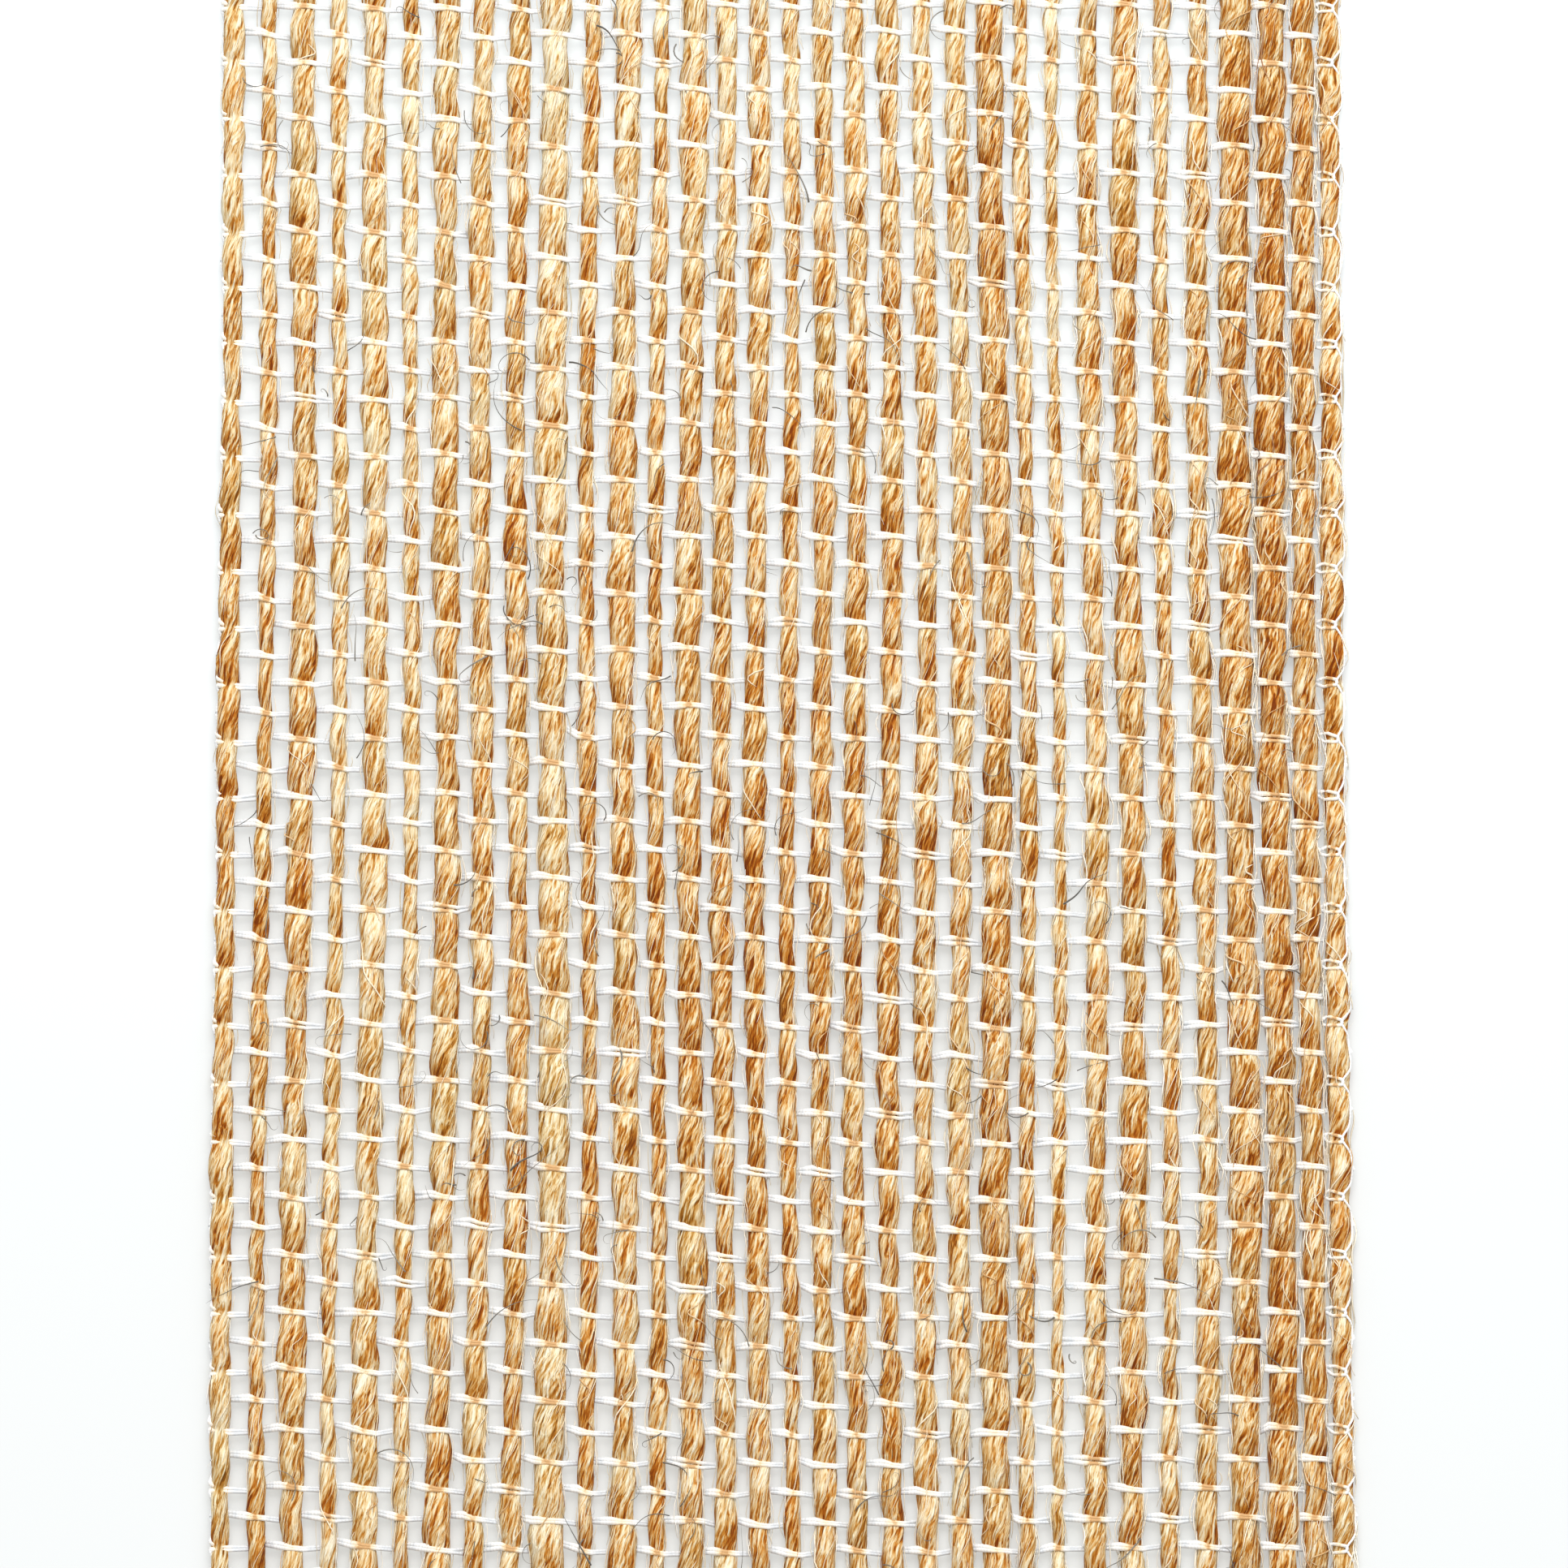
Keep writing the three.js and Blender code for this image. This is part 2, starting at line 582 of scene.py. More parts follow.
@dataclass
class JuteYarns:
    """The 33 yarns, in three groups across the ribbon.

    Attributes:
        ring_steps: Where a yarn's rings lie between one row and the next.
        end_share: Size of the last ring at a cut end, as a share of the one before it.
        end_round: How far the last ring stands out past that one.
        yarn_stray: How much the yarns' tones differ, besides across_tone.
        across_tone: How much browner the last yarn is than the first.
        least_painted_shade: How much a yarn's tone changes at least from thread to thread. This is painted
            shade: browner towards the near end of each length of yarn and paler at its far end, as light
            from the far end shades it.
        most_painted_shade: How much it changes at most.
        painted_shade_from: Share of the way from one thread to the next where the tone is the usual one.
        pattern_gap: How far apart the patterns of two yarns are read.
        patches: Places with a tone of their own. The wide one across the far end is painted light: it is
            paler where the light falls stronger.
    """

    weave: Weave
    sides: int = 12
    ring_steps: tuple[float, ...] = (0.0, 0.13, 0.32, 0.5, 0.68, 0.87)
    groups: tuple[str, ...] = ("jute_yarns_left", "jute_yarns_middle", "jute_yarns_right")
    end_share: float = 0.86
    end_round: float = 0.12
    yarn_stray: float = 0.22
    across_tone: float = 0.2
    least_painted_shade: float = 0.1
    most_painted_shade: float = 1.5
    painted_shade_from: float = 0.45
    pattern_gap: float = 37.0
    seed: int = 11
    patches: tuple[Patch, ...] = (
        Patch(-4, -13, 2.6, 8, 0.55), Patch(3, -6, 6, 16, 0.25), Patch(11.8, 36, 1.2, 7, 0.5),
        Patch(19.6, 29, 1.2, 3, 0.45), Patch(21.7, -3, 1.0, 2.5, 0.5), Patch(28, 24, 4, 17, 0.3),
        # Patch(0, 46, 60, 20, -0.5) is painted light. It makes the jute paler all across the far end, where
        # the light is stronger.
        Patch(-25, 5, 10, 45, -0.3), Patch(0, 46, 60, 20, -0.5),
        Patch(-8, -48, 40, 22, -0.2), Patch(25, 40, 12, 14, 0.35), Patch(-31.2, 4, 1.0, 16, 0.5),
    )

    def rings(self) -> Array:
        """Places of the rings along a yarn.

        Returns:
            The places, in rows, with two rings at each cut end.
        """
        cloth = self.weave.cloth
        inner = (np.arange(-1, cloth.rows)[:, None] + np.array(self.ring_steps)).ravel()
        first, final = cloth.near_ends(0.0)
        inner = inner[(inner > first) & (inner < final)]
        return np.concatenate([[first, first], inner, [final, final]])

    def tones(self) -> Array:
        """How much browner than usual each yarn is.

        Returns:
            The yarns' tones, from the left.
        """
        draw = np.random.default_rng(self.seed)
        cloth = self.weave.cloth
        across = self.across_tone * (cloth.yarns / cloth.last - 0.5)
        return draw.normal(0, self.yarn_stray, len(cloth.kinds)) + across

    def tone(self, yarn: Array, x: Array, y: Array) -> Array:
        """How much browner than usual the jute is at a place.

        Args:
            yarn: The yarns' numbers.
            x: Places across the ribbon, in millimetres.
            y: Places along it.

        Returns:
            Tones, of the yarns and of the patches together.
        """
        total = self.tones()[yarn]
        for p in self.patches:
            total = total + p.depth * bell(np.hypot((x - p.x) / p.reach_x, (y - p.y) / p.reach_y), 1)
        return total

    def painted_shade(self, yarn: Array, row: Array) -> Array:
        """Painted shade: how much browner each length of yarn is painted towards the next thread that lies
        over it, and paler past the one before, as light from the far end shades it.

        Args:
            yarn: The yarns' numbers.
            row: Places along them, in rows.

        Returns:
            Tones to add to the others.
        """
        draw = np.random.default_rng(self.seed + 1)
        cloth = self.weave.cloth
        strength = draw.uniform(self.least_painted_shade, self.most_painted_shade, (len(cloth.kinds), cloth.rows))
        stretch = ((row - yarn % 2 + 2) // 2).astype(int)
        return strength[yarn, stretch] * (self.weave.phase(yarn, row) - self.painted_shade_from)

    def build(self) -> list[bpy.types.Object]:
        """Makes the three groups.

        Returns:
            The pieces, from the left.
        """
        weave = self.weave
        row = self.rings()[None, :, None]
        angle = side_angles(self.sides)[None, None, :]
        pieces = []
        for name, numbers in zip(self.groups, np.array_split(weave.cloth.yarns, len(self.groups))):
            yarn = numbers[:, None, None]
            skin = weave.surface(yarn, row, angle)
            self._close_ends(skin, numbers)
            skin[..., 2] = np.maximum(skin[..., 2], 0.0)
            down = weave.cloth.length / 2 - skin[..., 1]
            fibre = angle - down * weave.twist(yarn)
            radius = weave.cloth.nominal(yarn) / 2
            untwisted = (radius * np.cos(fibre), radius * np.sin(fibre), down + self.pattern_gap * yarn)
            # The tone holds the yarns' own tones and patches, and also the painted shade along each length
            # of yarn.
            tone = self.tone(yarn, skin[..., 0], skin[..., 1]) + self.painted_shade(yarn, row)
            marks = {"fibre": np.stack(np.broadcast_arrays(*untwisted), -1), "tone": tone}
            pieces.append(Strands(name, skin, marks).build())
        return pieces

    def _close_ends(self, skin: Array, numbers: Array) -> None:
        """Rounds the cut ends a little, and sets each at its own length.

        Args:
            skin: The yarns' points, which are changed.
            numbers: The yarns' numbers.
        """
        for ring, inner, end, way in ((0, 1, 0, 1), (-1, -2, 1, -1)):
            centre = skin[:, inner].mean(axis=1, keepdims=True)
            skin[:, inner, :, 1] += self.weave.ends[end][numbers][:, None]
            skin[:, ring] = centre + (skin[:, inner] - centre) * self.end_share
            skin[:, ring, :, 1] = skin[:, inner, :, 1] + way * self.end_round


class Course(NamedTuple):
    """The rows of cross thread where they lie on the yarns, by row and stop.

    Attributes:
        x: Place of the doubled thread's middle, as are y and z.
        y: See x.
        z: See x.
        rise: How far from y the strand lies that runs to the right.
        drop: How far from y the strand lies that comes back.
        cover: How far jute covers the thread.
        sunk: How far it has sunk on its way under a yarn. This sets its painted shade.
        thick: Its share of the usual radius.
    """

    x: Array
    y: Array
    z: Array
    rise: Array
    drop: Array
    cover: Array
    sunk: Array
    thick: Array


@dataclass
class CrossThreads:
    """The doubled white threads, over one yarn and under the next, and the chain on the right edge.

    Most tuples give a value for each stop. A stop is a place on a yarn in shares of its half
    width. Falls are written for a thread that runs to the right. Lengths are in millimetres.

    Attributes:
        radius: A thread's usual radius.
        beyond: How far the outer stops lie past the yarn, as a share of the radius.
        rest: How far a thread's middle lies off the yarn, as a share of the radius.
        apart_over: Distance between the two strands on top of a yarn.
        apart_under: The same, beneath a yarn.
        fall_over: How far towards +Y it lies on top of a yarn, at a steepness of one.
        fall_under: The same, beneath a yarn.
        thick_over: Share of the radius on top of a yarn.
        thick_under: The same, beneath a yarn.
        sunk_over: How far the thread has sunk towards the next yarn, from 0 to 1. This sets where its
            painted shade begins.
        least_cover: How much jute covers the thread at least.
        most_cover: How much jute covers it at most.
        stray_apart: How unevenly far apart the strands lie.
        slack_share: Share of the crossings where the strands gape.
        slack_apart: How much further apart they lie there.
        fall_left: Steepness of the falls at the left edge.
        fall_right: Steepness at the right edge.
        fall_stray: How unevenly steep the falls are.
        left_apart: As apart_over, where a row wraps round the first yarn.
        left_sunk: How much lower the thread lies there.
        edge_cover: How much less jute covers it there at a yarn's side than in the middle.
        right_stops: As stops, where a row ends on top of the last yarn.
        right_rise: Where the first strand lies there.
        right_drop: Where the second strand lies there.
        right_thick: Share of the radius there.
        turn_thick: Share of the radius in the turns at both edges.
        loop_reach: How far a turn at the right edge stands out.
        loop_shares: Its shoulders take these shares of the strand's end and of the tip.
        nub_out: How far a wrapping thread stands out at the left, as a share of the radius.
        nub_in: How far in a thread bends that comes from under the first yarn.
        nub_step: How far the strands spread there.
        turn_in: How far in the turns to the next row lie at the left.
        turn_wrapped: How far a wrapping thread goes towards that row, in rows.
        turn_plain: How far the other threads go.
        turn_height: Height at which they meet.
        chain_steps: Rings of the chain for each row.
        chain_clear: How far from the cut ends it stops, in rows.
        chain_radius: Its radius.
        chain_out: How far out it lies, in half widths of the last yarn.
        catch_in: How far in a catch reaches from there.
        catch_reach: How long a catch is, in rows.
        chain_lift: How far the chain's middle lies off the yarn.
        pattern_gap: How far apart the patterns of two threads are read.
    """

    weave: Weave
    radius: float = 0.115
    sides: int = 5
    stops: tuple[float, ...] = (-0.95, -0.6, 0.0, 0.6, 0.95)
    beyond: float = 0.5
    rest: float = 0.75
    apart_over: tuple[float, ...] = (0.17, 0.15, 0.115, 0.105, 0.105)
    apart_under: tuple[float, ...] = (0.11, 0.12, 0.13, 0.14, 0.15)
    fall_over: tuple[float, ...] = (0.13, 0.08, 0.0, -0.03, -0.05)
    fall_under: tuple[float, ...] = (-0.05, 0.0, 0.07, 0.15, 0.2)
    thick_over: tuple[float, ...] = (1.42, 1.22, 0.88, 0.88, 0.95)
    thick_under: tuple[float, ...] = (0.95, 0.9, 0.9, 1.0, 1.15)
    sunk_over: tuple[float, ...] = (0.0, 0.0, 0.0, 0.1, 0.36)
    least_cover: float = 0.6
    most_cover: float = 1.9
    stray_apart: float = 0.012
    slack_share: float = 0.08
    slack_apart: float = 0.15
    fall_left: float = 1.15
    fall_right: float = 0.55
    fall_stray: float = 0.35
    groups: tuple[str, ...] = ("cross_threads_far", "cross_threads_near")
    left_apart: tuple[float, ...] = (0.42, 0.3, 0.18, 0.17, 0.18)
    left_sunk: tuple[float, ...] = (0.03, 0.15, 0.2, 0.15, 0.02)
    edge_cover: float = 0.8
    right_stops: tuple[float, ...] = (-1.05, -0.7, -0.3, 0.0, 0.2)
    right_rise: tuple[float, ...] = (0.26, 0.24, 0.2, 0.17, 0.15)
    right_drop: tuple[float, ...] = (-0.24, -0.22, -0.2, -0.18, -0.16)
    right_thick: float = 0.85
    turn_thick: float = 0.85
    loop_reach: float = 0.1
    loop_shares: tuple[float, float] = (0.45, 0.55)
    nub_out: float = 0.3
    nub_in: float = 0.02
    nub_step: float = 0.04
    turn_in: float = 0.16
    turn_wrapped: float = 0.45
    turn_plain: float = 0.62
    turn_height: float = 0.34
    chain_steps: int = 10
    chain_clear: float = 0.1
    chain_radius: float = 0.065
    chain_out: float = 1.05
    catch_in: float = 0.7
    catch_reach: float = 0.3
    chain_lift: float = 0.07
    pattern_gap: float = 211.0
    seed: int = 23

    def build(self) -> list[bpy.types.Object]:
        """Makes the rows in two groups, and the chain.

        Returns:
            The pieces, the far rows first.
        """
        lines, cover, sunk, thick = self.rows()
        pieces = []
        for name, numbers in zip(self.groups, np.array_split(np.arange(len(lines)), len(self.groups))):
            skin = round_skin(lines[numbers], self.radius * thick[numbers], self.sides)
            marks = {"run": self._run(lines[numbers]), "cover": cover[numbers], "sunk": sunk[numbers]}
            marks = {mark: values[:, :, None] for mark, values in marks.items()}
            pieces.append(Strands(name, skin, marks).build())
        pieces.append(self.chain())
        return pieces

    def _run(self, line: Array) -> Array:
        """Distance along lines, offset so that no two lines read alike.

        Args:
            line: Lines, by strand and ring, with X, Y and Z last.

        Returns:
            Distances by strand and ring.
        """
        step = np.linalg.norm(np.diff(line, axis=1), axis=2)
        run = np.concatenate([np.zeros((len(line), 1)), np.cumsum(step, axis=1)], axis=1)
        return run + self.pattern_gap * np.arange(len(line))[:, None]

    def rows(self) -> tuple[Array, Array, Array, Array]:
        """Centre lines of all rows, each from the left edge to the right one and back.

        Returns:
            The lines, and for each point how far jute covers the thread, how far it has sunk on
            its way under a yarn, and its share of the usual radius.
        """
        cloth = self.weave.cloth
        over = (np.arange(cloth.rows)[:, None, None] + cloth.yarns[None, :, None]) % 2 == 0
        course = self._course(over)
        there = np.stack([course.x, course.y + course.rise, course.z], -1)
        back = np.stack([course.x, course.y + course.drop, course.z], -1)[:, ::-1]
        first, final = self._left_turns(there[:, 0], back[:, -1], over[:, 0, 0])
        right = self._right_loop(there[:, -1], back[:, 0], over[:, -1, 0])
        lines = np.concatenate([first, there, right, back, final], axis=1)
        marks = []
        for mark, rest in ((course.cover, 0.0), (course.sunk, 0.0), (course.thick, self.turn_thick)):
            start, turn, end = (np.full(bend.shape[:2], rest) for bend in (first, right, final))
            marks.append(np.concatenate([start, mark, turn, mark[:, ::-1], end], axis=1))
        return lines, *marks

    def _course(self, over: Array) -> Course:
        """Lays the rows over and under the yarns.

        Args:
            over: Whether a row lies over a yarn, by row and yarn, with a last column of one.

        Returns:
            The rows on the yarns, without their turns at the edges.
        """
        cloth = self.weave.cloth
        draw = np.random.default_rng(self.seed)
        yarn = cloth.yarns[None, :, None]
        stop = np.array(self.stops)
        s = self.weave.section(yarn, np.arange(cloth.rows)[:, None, None].astype(float))
        tall = np.where(over, s.top, -s.bottom)
        off = np.where(over, self.rest, -self.rest) * self.radius
        x = s.x + stop * (s.half + self.beyond * self.radius)
        z = s.z + tall * np.sqrt(1 - stop**2) + off
        steep = self.fall_left + (self.fall_right - self.fall_left) * yarn / cloth.last
        steep = steep * (1 + draw.normal(0, self.fall_stray, over.shape))
        y = s.y + steep * np.where(over, self.fall_over, self.fall_under)
        slack = draw.random(over.shape) < self.slack_share
        apart = np.where(over, self.apart_over, self.apart_under)
        apart = apart + np.abs(draw.normal(0, self.stray_apart, over.shape)) + self.slack_apart * slack
        buried = draw.uniform(self.least_cover, self.most_cover, over.shape)
        cover = np.where(over, 1 - np.abs(stop), 0.0) * buried
        # The sunk mark sets where the thread is painted in shade, beneath the yarns.
        sunk = np.where(over, self.sunk_over, 1.0)
        thick = np.where(over, self.thick_over, self.thick_under)
        wrapped, held = over[:, 0, 0], over[:, -1, 0]
        apart[wrapped, 0] = self.left_apart
        z[wrapped, 0] -= self.left_sunk
        cover[wrapped, 0] = 1 - self.edge_cover * np.abs(stop)
        rise, drop = apart / 2, -apart / 2
        across = np.array(self.right_stops)
        level = np.sqrt(1 - np.minimum(1, across**2))
        x[held, -1] = (s.x + across * s.half)[held, -1]
        z[held, -1] = (s.z + s.top * level + self.radius)[held, -1]
        rise[held, -1] = self.right_rise
        drop[held, -1] = self.right_drop
        thick[held, -1] = self.right_thick
        sunk[held, -1] = 0
        parts = (x, y, z, rise, drop, cover, sunk, thick)
        return Course(*(part.reshape(cloth.rows, -1) for part in parts))

    def _right_loop(self, out: Array, back: Array, held: Array) -> Array:
        """The thread's turn, on top of the last yarn in held rows and at its side in the rest.

        Args:
            out: The rows' last points on their way out.
            back: Their first points on the way back.
            held: Whether a row lies over the last yarn.

        Returns:
            Three points for each row.
        """
        tip = (out + back) / 2
        tip[:, 0] += self.loop_reach
        tip[:, 2] = np.where(held, out[:, 2], self.weave.cloth.middle)
        near, far = self.loop_shares
        upper = out * near + tip * far
        lower = back * near + tip * far
        upper[:, 1] = out[:, 1]
        lower[:, 1] = back[:, 1]
        return np.stack([upper, tip, lower], axis=1)

    def _left_turns(self, first: Array, last: Array, wrapped: Array) -> tuple[Array, Array]:
        """Where each row starts and ends: round the first yarn and half way to the rows beside it.

        Args:
            first: The row's first point on the yarn.
            last: Its last point on the yarn.
            wrapped: Whether the row lies over the first yarn, and so bends round its outside.

        Returns:
            The two points before the first point, and the two after the last one.
        """
        cloth = self.weave.cloth
        ends = []
        for place, step in ((first, 1), (last, -1)):
            nub = place.copy()
            nub[:, 0] += np.where(wrapped, -self.nub_out * self.radius, self.nub_in)
            nub[:, 1] += self.nub_step * step
            nub[:, 2] = np.where(wrapped, cloth.middle, place[:, 2])
            turn = place.copy()
            turn[:, 0] += self.turn_in
            turn[:, 1] += step * np.where(wrapped, self.turn_wrapped, self.turn_plain) * cloth.row_pitch
            turn[:, 2] = self.turn_height
            ends.append((turn, nub))
        return np.stack(ends[0], axis=1), np.stack(ends[1][::-1], axis=1)

    def chain(self) -> bpy.types.Object:
        """Makes the fine thread that runs down the right edge and reaches over the last yarn to each turn.

        Returns:
            The piece.
        """
        weave, cloth = self.weave, self.weave.cloth
        last = np.array(cloth.last)
        row = np.linspace(*cloth.near_ends(self.chain_clear), cloth.rows * self.chain_steps)
        s = weave.section(last, row)
        phase = weave.phase(last, row)
        caught = bell(np.minimum(phase, 1 - phase) * 2, self.catch_reach)
        x = s.x + s.half * (self.chain_out - self.catch_in * caught)
        level = np.sqrt(np.maximum(0, 1 - ((x - s.x) / s.half) ** 2))
        z = s.z + s.top * level + self.chain_lift
        line = np.stack([x, s.y, z], -1)[None]
        skin = round_skin(line, np.full(line.shape[:2], self.chain_radius), self.sides)
        marks = {"run": self._run(line)[:, :, None]}
        marks["cover"] = marks["sunk"] = np.zeros((1, 1, 1))
        return Strands("edge_chain", skin, marks).build()


class Range(NamedTuple):
    """The least and the most of an even draw."""

    least: float
    most: float


class Spread(NamedTuple):
    """The middle of a bell-shaped draw, and how far it usually strays."""

    middle: float
    stray: float


class Draws:
    """Draws values for one kind of fibre, a column with one for each, and knows its rings' places."""

    def __init__(self, source: np.random.Generator, count: int, rings: int) -> None:
        """Sets what is drawn.

        Args:
            source: Where the draws come from.
            count: How many fibres there are.
            rings: How many rings of points a fibre has.
        """
        self.source = source
        self.shape = (count, 1)
        self.share = np.linspace(0, 1, rings)[None]

    def between(self, span: Range) -> Array:
        """Even draws over a range."""
        return self.source.uniform(span.least, span.most, self.shape)

    def about(self, spread: Spread) -> Array:
        """Bell-shaped draws."""
        return self.source.normal(spread.middle, spread.stray, self.shape)

    def unit(self) -> Array:
        """Even draws from 0 to 1."""
        return self.source.random(self.shape)


class Bundle(NamedTuple):
    """Fibres of one kind: centre lines, radii and tones, by fibre and ring."""

    line: Array
    thick: Array
    tone: Array


@dataclass(frozen=True)
class Fibres:
    """One kind of loose fibre.

    Attributes:
        yarns: The yarns that they come off.
        name: The piece's name.
        count: How many there are.
        rings: Rings of points along each.
        radius: Their radii.
        crowded: Under 1, more of them are on the right-hand yarns.
        sides: Faces round a fibre.
        clear: They end this far from the yarns' cut ends, in rows.
    """

    yarns: JuteYarns
    name: str
    count: int
    rings: int
    radius: Range
    crowded: float = 1.0
    sides: ClassVar[int] = 3
    clear: ClassVar[float] = 0.1

    def build(self, source: np.random.Generator) -> bpy.types.Object:
        """Makes the piece.

        Args:
            source: Where the draws come from.

        Returns:
            The piece.
        """
        line, thick, tone = self.bundle(Draws(source, self.count, self.rings))
        return Strands(self.name, round_skin(line, thick, self.sides), {"tone": tone[:, :, None]}).build()

    def bundle(self, draws: Draws) -> Bundle:
        """Lays the fibres, as each kind does in its own way."""
        raise NotImplementedError

    def on_yarns(self, draws: Draws) -> Array:
        """Draws the number of a yarn for each fibre."""
        return (draws.unit() ** self.crowded * len(self.yarns.weave.cloth.kinds)).astype(int)

    def outward(self, draws: Draws) -> Array:
        """Draws a side of the yarn for each fibre, as an angle."""
        return np.where(draws.unit() < 0.5, 0.0, math.pi)


@dataclass(frozen=True)
class Wisps(Fibres):
    """Coarse fibres that lie on the yarns and follow their twist, some of them astray.

    Attributes:
        run: How long they are.
        starts: How far from the far cut end and the near one they start at least, in rows.
        astray: Share of them that goes astray.
        astray_more: How much larger that share is on the yarns past astray_past.
        lean: Their slant, as a share of the yarn's twist.
        astray_lean: The slant of those astray.
        sway: How far they sway round the yarn.
        astray_sway: How many times further those astray do.
        angle: Where round the yarn they lie, as a share of half a turn.
        lowest: How far below the yarn's widest line they reach at most.
        bridging: Share of them that doesn't follow the dents at the threads.
        bridging_dent: How much of a dent those follow.
        lift: How far their ends lie off the yarn.
        arch: How much further their middles do.
        astray_thick: How many times thicker those astray are.
        tip: Share of the radius at their tips.
        own: Share of the yarn's tone that they take.
        tones: How much browner they are of themselves.
    """

    name: str = "loose_wisps"
    count: int = 2650
    rings: int = 10
    radius: Range = Range(0.016, 0.036)
    crowded: float = 0.85
    run: Range = Range(1.0, 4.2)
    starts: tuple[float, float] = (0.2, 3.0)
    astray: float = 0.14
    astray_more: float = 0.35
    astray_past: int = 27
    lean: Spread = Spread(1.0, 0.3)
    astray_lean: Range = Range(-2.4, 3.2)
    sway: Spread = Spread(0.0, 0.16)
    astray_sway: float = 2.5
    angle: Range = Range(0.1, 0.9)
    lowest: float = 0.25
    bridging: float = 0.45
    bridging_dent: float = 0.1
    lift: Range = Range(0.0, 0.04)
    arch: float = 0.05
    astray_thick: float = 1.7
    tip: float = 0.35
    own: float = 0.5
    tones: Spread = Spread(-0.4, 0.4)

    def bundle(self, draws: Draws) -> Bundle:
        """Lays the fibres on top of the yarns.

        Args:
            draws: Their draws.

        Returns:
            The fibres.
        """
        weave, cloth, share = self.yarns.weave, self.yarns.weave.cloth, draws.share
        yarn = self.on_yarns(draws)
        run = draws.between(self.run)
        first, final = (cloth.near_ends(clear)[end] for end, clear in enumerate(self.starts))
        start = draws.between(Range(first, final))
        row = np.minimum(start + share * run / cloth.row_pitch, cloth.near_ends(self.clear)[1])
        astray = draws.unit() < self.astray + self.astray_more * (yarn > self.astray_past)
        usual = draws.about(self.lean)
        lean = np.where(astray, draws.between(self.astray_lean), usual)
        sway = draws.about(self.sway) * np.sin(TURN * (share + draws.unit()))
        sway = sway * np.where(astray, self.astray_sway, 1.0)
        turn = weave.twist(yarn) * run * lean * (share - 0.5)
        angle = draws.between(self.angle) * math.pi + turn + sway
        angle = np.clip(angle, -self.lowest, math.pi + self.lowest)
        dented = np.where(draws.unit() < self.bridging, self.bridging_dent, 1.0)
        lift = draws.between(self.lift) + self.arch * np.sin(math.pi * share)
        line = weave.surface(yarn, row, angle, lift, dented)
        thick = draws.between(self.radius) * np.where(astray, self.astray_thick, 1.0)
        thick = thick * (self.tip + (1 - self.tip) * np.sin(math.pi * share) ** 0.5)
        tone = self.own * self.yarns.tone(yarn, line[..., 0], line[..., 1]) + draws.about(self.tones)
        return Bundle(line, thick, tone)


@dataclass(frozen=True)
class Fringes(Fibres):
    """Fine pale fibres that run beside the yarns, a little off their sides.

    Attributes:
        run: How long they are.
        middles: Their middles lie this far from the cut ends at least, in rows.
        angle: How far above or below the yarn's side they start.
        turning: How far they turn round the yarn from there.
        waves: How many waves each has.
        least_lift: How far off the yarn they lie at least.
        lift: Half of how much further the tops of the waves lie.
        dented: How much they follow the dents at the threads.
        thicker: How much thicker they are on the yarns past thicker_past.
        tip: Share of the radius at their tips.
        tones: How much browner they are.
    """

    name: str = "side_fringes"
    count: int = 5400
    rings: int = 6
    radius: Range = Range(0.02, 0.042)
    crowded: float = 0.7
    run: Range = Range(1.2, 3.4)
    middles: float = 0.2
    angle: Range = Range(-0.35, 0.35)
    turning: Spread = Spread(0.0, 0.25)
    waves: Range = Range(0.4, 1.1)
    least_lift: float = 0.01
    lift: Range = Range(0.01, 0.15)
    dented: float = 0.3
    thicker: float = 0.5
    thicker_past: int = 24
    tip: float = 0.4
    tones: Spread = Spread(-0.2, 0.4)

    def bundle(self, draws: Draws) -> Bundle:
        """Lays the fibres along the yarns' sides.

        Args:
            draws: Their draws.

        Returns:
            The fibres.
        """
        weave, cloth, share = self.yarns.weave, self.yarns.weave.cloth, draws.share
        yarn = self.on_yarns(draws)
        outward = self.outward(draws)
        run = draws.between(self.run)
        middle = draws.between(Range(*cloth.near_ends(self.middles)))
        row = np.clip(middle + (share - 0.5) * run / cloth.row_pitch, *cloth.near_ends(self.clear))
        angle = outward + draws.between(self.angle) + draws.about(self.turning) * share
        wave = np.sin(TURN * (draws.between(self.waves) * share + draws.unit()))
        lift = self.least_lift + draws.between(self.lift) * (1 + wave)
        line = weave.surface(yarn, row, angle, lift, self.dented)
        thick = draws.between(self.radius) * (1 + self.thicker * (yarn > self.thicker_past))
        thick = thick * (self.tip + (1 - self.tip) * np.sin(math.pi * share))
        return Bundle(line, thick, draws.about(self.tones))


